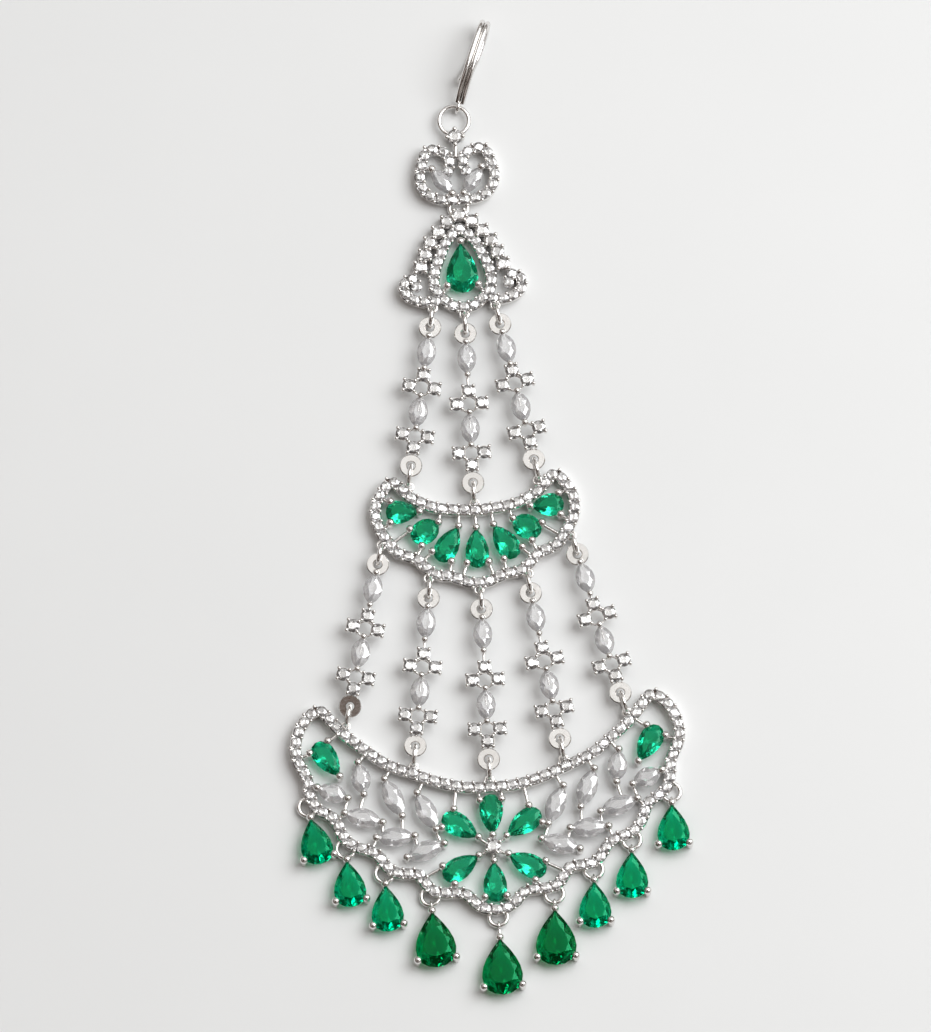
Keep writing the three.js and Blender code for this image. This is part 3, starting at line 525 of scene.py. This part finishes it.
def smooth_line(points, closed):
    """Many places on the smooth line through some points."""
    count = len(points)
    line = []
    for i in range(count if closed else count - 1):
        before = points[i - 1] if closed or i else points[i]
        here, there = points[i], points[(i + 1) % count]
        after = points[(i + 2) % count] if closed or i + 2 < count else there
        reach = (there - here).length / 3
        leave = here + (there - before).normalized() * reach
        arrive = there - (after - here).normalized() * reach
        line += interpolate_bezier(here, leave, arrive, there, 13)[:-1]
    return line if closed else line + [points[-1]]


def stations(line, pitch, closed):
    """Evenly spaced places along a line, about a pitch apart, with the way along at each."""
    ends = line[1:] + line[:1] if closed else line[1:]
    steps = list(zip(line, ends))
    whole = sum((b - a).length for a, b in steps)
    count = 2 * round(whole / pitch / 2)
    found = []
    walked = 0.0
    for a, b in steps:
        span = (b - a).length
        while len(found) < count and walked + span >= whole * len(found) / count - 1e-12:
            share = (whole * len(found) / count - walked) / span
            found.append((a.lerp(b, share), (b - a).normalized()))
        walked += span
    if not closed:
        found.append((line[-1], (line[-1] - line[-2]).normalized()))
    return found


def stand(place, along, across_share=1.0):
    """The matrix that stands a flat profile across a line: its X goes to the right of the way, its Y up."""
    across = along.cross(UP).normalized() * across_share
    return Matrix.Translation(place) @ Matrix((across, UP, along)).transposed().to_4x4()


def draw(bm, profile, places, closed=False):
    """Extrudes a closed profile from place to place, then joins or caps its ends."""
    first = places[0]
    ring = [bm.verts.new(first @ Vector((x, y, 0))) for x, y in profile]
    edges = [bm.edges.new((ring[i - 1], ring[i])) for i in range(len(ring))]
    loops = [edges]
    last = first
    for place in places[1:] + ([first] if closed else []):
        grown = bmesh.ops.extrude_edge_only(bm, edges=edges)["geom"]
        ring = {g for g in grown if isinstance(g, bmesh.types.BMVert)}
        edges = [g for g in grown if isinstance(g, bmesh.types.BMEdge) and set(g.verts) <= ring]
        bmesh.ops.transform(bm, matrix=place @ last.inverted(), verts=list(ring))
        loops.append(edges)
        last = place
    if closed:
        bmesh.ops.remove_doubles(bm, verts=bm.verts, dist=1e-8)
    else:
        for loop in (loops[0], loops[-1]):
            bmesh.ops.edgeloop_fill(bm, edges=loop)


def circle(radius, count=12):
    """The corners of a round section."""
    turns = [math.tau * i / count for i in range(count)]
    return [(radius * math.cos(turn), radius * math.sin(turn)) for turn in turns]


def band_profile(width):
    """A band's section: a rail with rounded edges and a shallow groove for its stones."""
    half = width / 2
    top = BAND_HEIGHT - GROOVE
    return [(-half + BAND_ROUND, 0), (half - BAND_ROUND, 0), (half, BAND_ROUND), (half, top - BAND_ROUND),
            (half - BAND_ROUND, top), (GROOVE_SHARE * half, top - GROOVE),
            (-GROOVE_SHARE * half, top - GROOVE), (-half + BAND_ROUND, top), (-half, top - BAND_ROUND),
            (-half, BAND_ROUND)]


class Motif:
    """One cast frame: its metal and its small clear stones, laid in the frame's own place."""

    def __init__(self, name, at, width, height):
        self.name = name
        self.at = at
        self.width = width
        self.height = height
        self.metal = bmesh.new()
        self.pave = bmesh.new()
        self.marquises = bmesh.new()

    def spot(self, across, up, side=1):
        """A place given as shares of the frame's half width and of its height."""
        return self.at + Vector((side * across * self.width / 2, up * self.height, 0))

    def line(self, border, closed=True):
        """The corners of a half border and of its mirrored half, as one line."""
        right = [self.spot(*row) for row in border]
        left = [self.spot(*row, -1) for row in (border[-2:0:-1] if closed else border[:0:-1])]
        return right + left if closed else left + right

    def band(self, points, closed=True, width=BAND_WIDTH):
        """A pave-set band: the rail, its stones and the beads between them."""
        line = smooth_line(points, closed)
        places = stations(line, PAVE_PITCH / 2, closed)
        if closed and len(places) % 4:
            places = stations(line, PAVE_PITCH / 2 * len(places) / (len(places) + 2), closed)
        rail = bmesh.new()
        draw(rail, band_profile(width),
             [stand(at, way, 1 if i % 2 == 0 else SCALLOP) for i, (at, way) in enumerate(places)], closed)
        lay(self.metal, kept(rail), Matrix.Identity(4))
        for i, (at, way) in enumerate(places):
            if i % 2 == 0:
                lay(self.pave, PAVE_STONE, Matrix.Translation(at + PAVE_LEVEL * UP) @ leaning(i / 2))
            else:
                for side in (1, -1):
                    across = way.cross(UP) * side * BEAD_ACROSS * width / BAND_WIDTH
                    lay(self.metal, BEAD, Matrix.Translation(at + across + PAVE_LEVEL * UP))

    def tie(self, start, end, level=TIE_LEVEL, radius=TIE_RADIUS):
        """A thin bar between two places."""
        way = (end - start).normalized()
        bar = bmesh.new()
        lift = level * UP
        draw(bar, circle(radius), [stand(start + lift, way), stand(end + lift, way)])
        lay(self.metal, kept(bar), Matrix.Identity(4))

    def round_stone(self, at, size=ROUND_SIZE, turn=math.pi / 4, level=PAVE_LEVEL):
        """A round stone in a collet with four small prongs."""
        cup = bmesh.new()
        foot, rim = COLLET
        top = level - COLLET_GAP * size
        bmesh.ops.create_cone(cup, cap_ends=True, segments=20, radius1=foot * size, radius2=rim * size,
                              depth=top, matrix=Matrix.Translation(at + top / 2 * UP))
        lay(self.metal, kept(cup), Matrix.Identity(4))
        place = Matrix.Translation(at + level * UP) @ Matrix.Scale(size / ROUND_SIZE, 4)
        lay(self.pave, ROUND_STONE, place @ leaning(at.x / ROUND_SIZE))
        for i in range(4):
            reach = Matrix.Rotation(turn + i * math.tau / 4, 3, "Z") @ Vector((PRONG_REACH * size, 0, 0))
            lay(self.metal, SMALL_PRONG, Matrix.Translation(at + reach))

    def seat(self, kind, width, length, matrix, share=SEAT_SHARE, ends=None, border=None):
        """The thin wall under a stone's edge, with its prongs, each tied to a border near it."""
        wall = thin_wall(kind, width, length, share, SEAT_HEIGHT)
        lay(self.metal, wall, matrix @ Matrix.Translation(SEAT_LEVEL * UP))
        for turn in ends or [math.radians(t) for t in PRONG_TURNS]:
            edge = outline(kind, width, length, turn)
            spot = matrix @ (edge + edge.normalized() * BALL_REACH)
            lay(self.metal, BALL_PRONG, Matrix.Translation(spot))
            foot = nearest(self, border, spot)[0] if border else spot
            if RIM_WIRE < (foot - spot).length < TIE_REACH:
                self.tie(spot, foot)

    def done(self, node):
        """The finished pieces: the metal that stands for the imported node, and its clear stones."""
        metal = piece(f"{self.name}_metal", self.metal, plating, smooth=True)
        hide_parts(node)
        if self.pave.verts:
            piece(f"{self.name}_round_stones", self.pave, pave_clear)
        if self.marquises.verts:
            piece(f"{self.name}_marquises", self.marquises, milky_clear)


def piece(name, bm, material, smooth=False):
    """A finished piece that rides on the jewel, with its material."""
    bmesh.ops.recalc_face_normals(bm, faces=bm.faces)
    mesh = bpy.data.meshes.new(name)
    bm.to_mesh(mesh)
    bm.free()
    if smooth:
        mesh.shade_smooth()
        mesh.set_sharp_from_angle(angle=SMOOTH_BELOW)
    mesh.materials.append(material)
    made = bpy.data.objects.new(name, mesh)
    bpy.context.scene.collection.objects.link(made)
    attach(made, "root")
    return made


def single(name, shape, matrix, material, node, smooth=False):
    """One small shape as a piece of its own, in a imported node's place."""
    bm = bmesh.new()
    lay(bm, shape, matrix)
    made = piece(name, bm, material, smooth)
    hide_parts(node)
    return made


BEAD = ball(BEAD_RADIUS)
WASHER = flat_washer()
STRAND_STONE = cut_stone("marquise", *STRAND_MARQUISE, **MARQUISE_CUT)
BALL_PRONG = prong(PRONG_BALL, PRONG_FOOT, BALL_LEVEL)
SMALL_PRONG = prong(SMALL_BALL, PRONG_FOOT, SMALL_BALL_LEVEL)
STRAND_PRONG = prong(STRAND_BALL, STRAND_FOOT, STRAND_BALL_LEVEL)
STRAND_SMALL_PRONG = prong(STRAND_SMALL_BALL, STRAND_FOOT, STRAND_SMALL_LEVEL)
PAVE_STONE = cut_stone("round", PAVE_SIZE, PAVE_SIZE, crown=0.12, table=0.5)
ROUND_STONE = cut_stone("round", ROUND_SIZE, ROUND_SIZE, crown=0.12, table=0.5)
CRESCENT_STONE = cut_stone("petal", *CRESCENT_PEAR)
EYE = wire_ring(EYE_RADIUS, EYE_WIRE)
FLOWER_RING = wire_ring(FLOWER_RADIUS, FLOWER_WIRE)
DROP_LOOP = wire_ring(DROP_LOOP_RADIUS, DROP_LOOP_WIRE)


def nearest(motif, border, target):
    """The nearest place on a motif's closed border to a target, and the way out from it."""
    line = smooth_line(motif.line(border), True)
    i = min(range(len(line)), key=lambda k: (line[k] - target).length)
    way = (line[(i + 1) % len(line)] - line[i - 1]).normalized().cross(UP)
    return line[i], way


def add_eye(motif, foot, way):
    """The small ring outside a band that a strand hangs from."""
    centre = foot + way * (BAND_WIDTH / 2 + EYE_REACH)
    lay(motif.metal, EYE, Matrix.Translation(centre + EYE_LEVEL * UP))


def marquise(motif, at, turn, span, width=MARQUISE_WIDTH):
    """A marquise between two balls, in a thin wall, with its stone."""
    length = span - BALL_OVERLAP
    matrix = turned(at, turn)
    motif.seat("marquise", width, length, matrix, share=MARQUISE_SEAT_SHARE, ends=[0, math.pi])
    shape = cut_stone("marquise", width, length, **MARQUISE_CUT)
    lay(motif.marquises, shape, matrix @ Matrix.Translation((0, 0, GIRDLE)))


def large_crescent():
    """The lowest frame: its border, marquises and tip emeralds, and the flower of six petals."""
    low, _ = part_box("large_crescent")
    up = low[1] - LARGE_BORDER[0][1] * LARGE_HEIGHT + BAND_WIDTH / 2
    at = Vector((centre_of("large_crescent").x, up, 0))
    motif = Motif("large_crescent", at, LARGE_WIDTH, LARGE_HEIGHT)
    motif.band(motif.line(LARGE_BORDER))
    for row in LOWER_TO:
        add_eye(motif, *nearest(motif, LARGE_BORDER, motif.spot(*row)))
    motif.round_stone(at, size=MIDDLE_STONE, turn=MIDDLE_STONE_TURN, level=GIRDLE)
    for side in (1, -1):
        for i, (across, up, turn, span) in enumerate(LARGE_MARQUISES):
            marquise(motif, motif.spot(across, up, side), -side * math.radians(turn), span * MM)
            leaf_ties(motif, i, side)
        across, up, turn = TIP_EMERALD
        matrix = turned(motif.spot(across, up, side), side * math.radians(180 + turn))
        motif.seat("petal", *CRESCENT_PEAR, matrix, border=LARGE_BORDER)
        node = "tip_emerald_right" if side > 0 else "tip_emerald_left"
        single(f"{node}_stone", CRESCENT_STONE, matrix @ Matrix.Translation((0, 0, GIRDLE)), frame_green,
               node)
    petals = bmesh.new()
    for turn, reach in PETALS:
        turn = math.radians(turn)
        place = at + Matrix.Rotation(turn, 3, "Z") @ Vector((0, -reach * MM, 0))
        matrix = turned(place, turn)
        motif.seat("petal", *CRESCENT_PEAR, matrix, border=LARGE_BORDER)
        lay(petals, CRESCENT_STONE, matrix @ Matrix.Translation((0, 0, GIRDLE)))
        motif.tie(at, at + (place - at) * 0.5)
    piece("large_crescent_petals", petals, frame_green)
    motif.done("large_crescent")


def leaf_ties(motif, i, side):
    """The short bars from a marquise's balls to the border, or to the marquise beneath it."""
    def end_of(index, sign):
        across, up, turn, span = LARGE_MARQUISES[index]
        way = Matrix.Rotation(-side * math.radians(turn), 3, "Z") @ Vector((0, span * MM / 2, 0))
        return motif.spot(across, up, side) + sign * way

    outer = end_of(i, 1)
    foot, _ = nearest(motif, LARGE_BORDER, outer)
    if (foot - outer).length < TIE_REACH:
        motif.tie(outer, foot)
    if i in LEAF_RESTS:
        inner = end_of(i, -1)
        across, up, turn, _ = LARGE_MARQUISES[LEAF_RESTS[i]]
        along = Matrix.Rotation(-side * math.radians(turn), 3, "Z") @ Vector((0, 1, 0))
        middle = motif.spot(across, up, side)
        reach = inner - middle
        edge = middle + along * reach.dot(along)
        motif.tie(inner, edge.lerp(inner, LEAF_HOLD))


def small_crescent():
    """The middle frame with its seven emeralds."""
    at = centre_of("small_crescent_emerald_4")
    at = Vector((at.x, at.y - SMALL_EMERALDS[3][1] * SMALL_HEIGHT, 0))
    motif = Motif("small_crescent", at, SMALL_WIDTH, SMALL_HEIGHT)
    motif.band(motif.line(SMALL_BORDER))
    for row in UPPER_TO + LOWER_FROM:
        add_eye(motif, *nearest(motif, SMALL_BORDER, motif.spot(*row)))
    for i, (across, up, turn, width, length, kind) in enumerate(SMALL_EMERALDS, 1):
        matrix = turned(motif.spot(across, up), math.radians(turn))
        motif.seat(kind, width * MM, length * MM, matrix, border=SMALL_BORDER)
        single(f"small_crescent_stone_{i}", cut_stone(kind, width * MM, length * MM),
               matrix @ Matrix.Translation((0, 0, GIRDLE)), frame_green,
               f"small_crescent_emerald_{i}")
    motif.done("small_crescent")


def teardrop_motif():
    """The halo round its pear stone, with two scrolls and an arch of round stones."""
    at = centre_of("teardrop_emerald")
    at = Vector((at.x, at.y, 0))
    motif = Motif("teardrop_motif", at, TEARDROP_WIDTH, TEARDROP_HEIGHT)
    motif.band(motif.line(HALO_BORDER))
    for row in UPPER_FROM:
        add_eye(motif, motif.spot(*row), Vector((0, -1, 0)))
    motif.seat("pear", *CENTRE_PEAR, turned(at), border=HALO_BORDER)
    single("teardrop_motif_stone", cut_stone("pear", *CENTRE_PEAR), turned(at + GIRDLE * UP), frame_green,
           "teardrop_emerald")
    motif.round_stone(motif.spot(*OPEN_STONES[0]))
    for side in (1, -1):
        motif.band([motif.spot(*row, side) for row in SCROLL], closed=False, width=SCROLL_BAND)
        for start, end in zip(OPEN_STONES, OPEN_STONES[1:]):
            motif.tie(motif.spot(*start, side), motif.spot(*end, side))
            motif.round_stone(motif.spot(*end, side))
        motif.tie(motif.spot(*OPEN_STONES[-1], side), motif.spot(*SCROLL[2], side))
    motif.done("teardrop_motif")


def crown_motif():
    """The uppermost frame: an open band, a bridge and stem with the top stone, and two marquises."""
    link = centre_of("motif_link")
    at = Vector((link.x, link.y + CROWN_BAND / 2 + LINK_REACH - CROWN_BORDER[0][1] * CROWN_HEIGHT, 0))
    motif = Motif("crown_motif", at, CROWN_WIDTH, CROWN_HEIGHT)
    motif.band(motif.line(CROWN_BORDER, False), closed=False, width=CROWN_BAND)
    bridge = [motif.spot(*CROWN_BRIDGE, side) for side in (-1, 1)]
    top = centre_of("hook_ring") - Vector((0, HOOK_RING_RADIUS + HOOK_RING_RISE, 0))
    top.z = 0
    motif.tie(*bridge)
    motif.tie((bridge[0] + bridge[1]) / 2, top, radius=CROWN_STEM)
    motif.round_stone(top, size=CROWN_STONE, turn=0)
    across, up, turn = CROWN_STONES
    width, length = CROWN_STONE_CUT
    for side in (1, -1):
        stone_at = motif.spot(across, up, side)
        marquise(motif, stone_at, -side * math.radians(turn), length, width)
        for end, row in CROWN_TIES:
            start = end * CROWN_TIE_START
            motif.tie(stone_at + Vector((side * start.x, start.y, 0)), motif.spot(*row, side))
    motif.done("crown_motif")


def strand(name):
    """A strand between its two standing rings: washers, marquises and flowers of round stones."""
    top, bottom = centre_of(f"{name}_top_ring"), centre_of(f"{name}_bottom_ring")
    way = (bottom - top).normalized()
    length = (bottom - top).length - 2 * RING_RADIUS
    matrix = turned(Vector((top.x, top.y, 0)) + way * RING_RADIUS, math.atan2(way.x, -way.y))
    neck = length - STRAND_SPAN
    motif = Motif(name, Vector(), 1, 1)
    for i, y in enumerate((0, -length)):
        lean = WASHER_LEANS[2 * STRANDS.index(name) + i]
        lay(motif.metal, WASHER, Matrix.Translation((0, y, top.z)) @ Matrix.Rotation(-lean, 4, "X"))
    for down in (UPPER_MARQUISE, LOWER_MARQUISE + neck):
        strand_marquise(motif, Vector((0, -down, 0)))
    for down, sides in ((UPPER_FLOWER, (90, 0, 180)), (LOWER_FLOWER, (0, 180, 270))):
        centre = Vector((0, -down - neck, 0))
        for turn in sides:
            reach = Matrix.Rotation(math.radians(turn), 3, "Z") @ Vector((PETAL_REACH, 0, 0))
            strand_round(motif, centre + reach)
        lay(motif.metal, FLOWER_RING, Matrix.Translation(centre + STRAND_FOOT * UP))
    for start, end in ((WASHER_HOLD, UPPER_MARQUISE - MARQUISE_END),
                       (UPPER_MARQUISE + MARQUISE_END, UPPER_FLOWER + neck - PETAL_REACH),
                       (UPPER_FLOWER + neck + FLOWER_EDGE, LOWER_MARQUISE + neck),
                       (LOWER_MARQUISE + neck + MARQUISE_END, LOWER_FLOWER + neck - FLOWER_EDGE),
                       (LOWER_FLOWER + neck + PETAL_REACH, length - WASHER_HOLD)):
        motif.tie(Vector((0, -start, 0)), Vector((0, -end, 0)), level=top.z, radius=STRAND_BAR)
    for bm in (motif.metal, motif.pave, motif.marquises):
        bm.transform(matrix)
    motif.done(name)


def strand_marquise(motif, at):
    """A marquise stone with a ball at each tip, over the strand's back."""
    width, length = STRAND_MARQUISE
    lay(motif.marquises, STRAND_STONE, Matrix.Translation(at + STRAND_GIRDLE * UP))
    wall = thin_wall("marquise", width, length, STRAND_SEAT_SHARE, STRAND_WALL)
    lay(motif.metal, wall, Matrix.Translation(at + STRAND_SEAT_LEVEL * UP))
    for side in (1, -1):
        tip = at + Vector((0, side * (length / 2 + BALL_REACH), 0))
        lay(motif.metal, STRAND_PRONG, Matrix.Translation(tip))


def strand_round(motif, at):
    """A round stone of a flower, in its collet with four small prongs."""
    foot, rim = FLOWER_COLLET
    cup = bmesh.new()
    bmesh.ops.create_cone(cup, cap_ends=True, segments=20, radius1=foot * ROUND_SIZE,
                          radius2=rim * ROUND_SIZE, depth=STRAND_WALL)
    lay(motif.metal, kept(cup), Matrix.Translation(at + FLOWER_COLLET_LEVEL * UP))
    place = Matrix.Translation(at + FLOWER_STONE_LEVEL * UP)
    lay(motif.pave, ROUND_STONE, place @ leaning((at.x + at.y) / ROUND_SIZE))
    for i in range(4):
        reach = Matrix.Rotation(math.tau * (i + 0.5) / 4, 3, "Z")
        reach = reach @ Vector((FLOWER_PRONG_REACH * ROUND_SIZE, 0, 0))
        lay(motif.metal, STRAND_SMALL_PRONG, Matrix.Translation(at + reach))


def drop(index):
    """A pear drop on its ring: the stone, its wall and balls, and the loop that the ring goes through."""
    width, length, neck = DROP_SIZES.get(index, SMALL_DROP)
    lay_turn = math.radians(DROP_LAYS[index - 1])
    ring = centre_of(f"drop_ring_{index}")
    way = Matrix.Rotation(lay_turn, 3, "Z") @ Vector((0, -LINK_RADIUS, 0))
    matrix = turned(Vector((ring.x, ring.y, 0)) + way, lay_turn)
    down = neck + length / 2
    motif = Motif(f"drop_{index}", Vector(), 1, 1)
    motif.seat("pear", width, length, Matrix.Translation((0, -down, 0)))
    lay(motif.metal, DROP_LOOP, Matrix.Translation((0, 0, ring.z)) @ Matrix.Rotation(math.pi / 2, 4, "Y"))
    motif.tie(Vector((0, -DROP_STEM_START, 0)), Vector((0, -neck - DROP_STEM_REACH, 0)), level=ring.z)
    motif.metal.transform(matrix)
    motif.pave.free()
    motif.marquises.free()
    metal = piece(f"drop_{index}_setting", motif.metal, plating, smooth=True)
    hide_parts(f"drop_{index}")
    stone = bmesh.new()
    lay(stone, cut_stone("pear", width, length, sides=10, crown=0.13, depth=0.28),
        matrix @ Matrix.Translation((0, -down, GIRDLE)))
    green = deep_green if index in DROP_SIZES else drop_green
    piece(f"drop_{index}_stone", stone, green)


def rings():
    """The smooth jump rings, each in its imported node's place."""
    flat = wire_ring(LINK_RADIUS, WIRE)
    standing = wire_ring(RING_RADIUS, WIRE)
    for node in [f"drop_ring_{i}" for i in range(1, 10)] + ["motif_link"]:
        single(f"{node}_wire", flat, turned(centre_of(node)), plating, node, smooth=True)
    for name in STRANDS:
        top, bottom = centre_of(f"{name}_top_ring"), centre_of(f"{name}_bottom_ring")
        turn = math.atan2(bottom.x - top.x, top.y - bottom.y)
        for node in (f"{name}_top_ring", f"{name}_bottom_ring"):
            matrix = turned(centre_of(node), turn) @ Matrix.Rotation(math.pi / 2, 4, "Y")
            single(f"{node}_wire", standing, matrix, plating, node, smooth=True)
    single("hook_ring_wire", wire_ring(HOOK_RING_RADIUS, WIRE, steps=56), turned(centre_of("hook_ring")),
           plating, "hook_ring", smooth=True)


def hook():
    """The hair hook: two wires side by side, bent back under themselves, and the eye on the hook ring."""
    ring = centre_of("hook_ring")
    reach = Matrix.Rotation(-HOOK_LEAN, 3, "Z") @ Vector((0, HOOK_RING_RADIUS, 0))
    start = Vector((ring.x, ring.y, 0)) + reach
    bm = bmesh.new()
    for side in (1, -1):
        route = [Vector((side * HOOK_WIRE / 2, a * HOOK_LENGTH, u * HOOK_HEIGHT)) for a, u in HOOK_ROUTE]
        for place, share in zip(route[-3:], HOOK_TAIL_SHARES):
            place.x -= share * HOOK_TAIL_SHIFT
        line = stations(smooth_line(route, False), HOOK_STEP, False)
        wire = bmesh.new()
        places = []
        for at, way in line:
            across = Vector((1, 0, 0))
            basis = Matrix((across, way.cross(across), way)).transposed().to_4x4()
            places.append(Matrix.Translation(at) @ basis)
        draw(wire, circle(HOOK_WIRE / 2), places)
        lay(bm, kept(wire), Matrix.Identity(4))
    eye = wire_ring(HOOK_EYE_RADIUS, HOOK_EYE_WIRE)
    lift = Matrix.Translation((0, 0, HOOK_EYE_RADIUS + HOOK_EYE_WIRE / 2))
    lay(bm, eye, lift @ Matrix.Rotation(math.pi / 2, 4, "Y"))
    bm.transform(turned(start, -HOOK_LEAN))
    made = piece("hook_wires", bm, plating, smooth=True)
    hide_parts("hook")


def camera():
    """The photograph's camera: almost overhead, a little below the jewel, with a long lens."""
    lens = bpy.data.cameras.new("camera")
    lens.sensor_fit = "HORIZONTAL"
    lens.sensor_width = SENSOR_WIDTH
    lens.lens = SENSOR_WIDTH * VIEW_FROM / (PICTURE_WIDTH * MM_A_PIXEL * MM)
    lens.clip_start = 0.05
    made = bpy.data.objects.new("camera", lens)
    bpy.context.scene.collection.objects.link(made)
    ahead = Vector((math.sin(VIEW_TURN), math.cos(VIEW_TURN), 0))
    back = UP * math.cos(VIEW_TILT) - ahead * math.sin(VIEW_TILT)
    made.location = VIEW_AIM + back * VIEW_FROM
    made.rotation_euler = (-back).to_track_quat("-Z", "Y").to_euler()
    bpy.context.scene.camera = made


def window():
    """The one soft square light, aimed at the jewel."""
    lamp = bpy.data.lights.new("window", "AREA")
    lamp.size = WINDOW_SIZE
    lamp.energy = WINDOW_POWER
    lamp.color = WINDOW_COLOUR
    made = bpy.data.objects.new("window", lamp)
    made.location = WINDOW_AT
    made.rotation_euler = (-WINDOW_AT).to_track_quat("-Z", "Y").to_euler()
    bpy.context.scene.collection.objects.link(made)


def studio():
    """The pale ground, the window's light and the surrounding white."""
    bpy.context.scene.view_settings.view_transform = "Standard"
    bm = bmesh.new()
    bmesh.ops.create_grid(bm, x_segments=1, y_segments=1, size=GROUND_HALF)
    mesh = bpy.data.meshes.new("ground")
    bm.to_mesh(mesh)
    bm.free()
    mesh.materials.append(ground)
    floor = bpy.data.objects.new("ground", mesh)
    bpy.context.scene.collection.objects.link(floor)
    window()
    world = bpy.data.worlds.new("surround")
    world.use_nodes = True
    bpy.context.scene.world = world
    graph = Graph(world.node_tree)
    way = graph.node("ShaderNodeTexCoord", output="Generated")
    high = graph.node("ShaderNodeSeparateXYZ", None, {0: way}, output="Z")
    patches = graph.node("ShaderNodeTexNoise", None, {"Vector": way, "Scale": PATCH_SCALE, "Detail": 1.0})
    facing = graph.vectors("DOT_PRODUCT", way, CAMERA_SIDE, output=1)
    sideways = graph.vectors("DOT_PRODUCT", way, WINDOW_SIDE, output=1)
    colour = graph.vectors("MULTIPLY", graph.ramp(HORIZON, high), graph.ramp(ROOM, patches))
    colour = graph.vectors("MULTIPLY", colour, graph.ramp(BEHIND, facing))
    colour = graph.vectors("MULTIPLY", colour, graph.ramp(SHADE, 0.5 * sideways + 0.5))
    glow = graph.node("ShaderNodeBackground", None, {"Color": colour, "Strength": SURROUND_STRENGTH})
    graph.node("ShaderNodeOutputWorld", None, {"Surface": glow})


camera()
studio()
large_crescent()
small_crescent()
teardrop_motif()
crown_motif()
for strand_name in STRANDS:
    strand(strand_name)
for drop_index in range(1, 10):
    drop(drop_index)
rings()
hook()

for shape in [mesh for mesh in bpy.data.meshes if mesh.users == 0]:
    bpy.data.meshes.remove(shape)
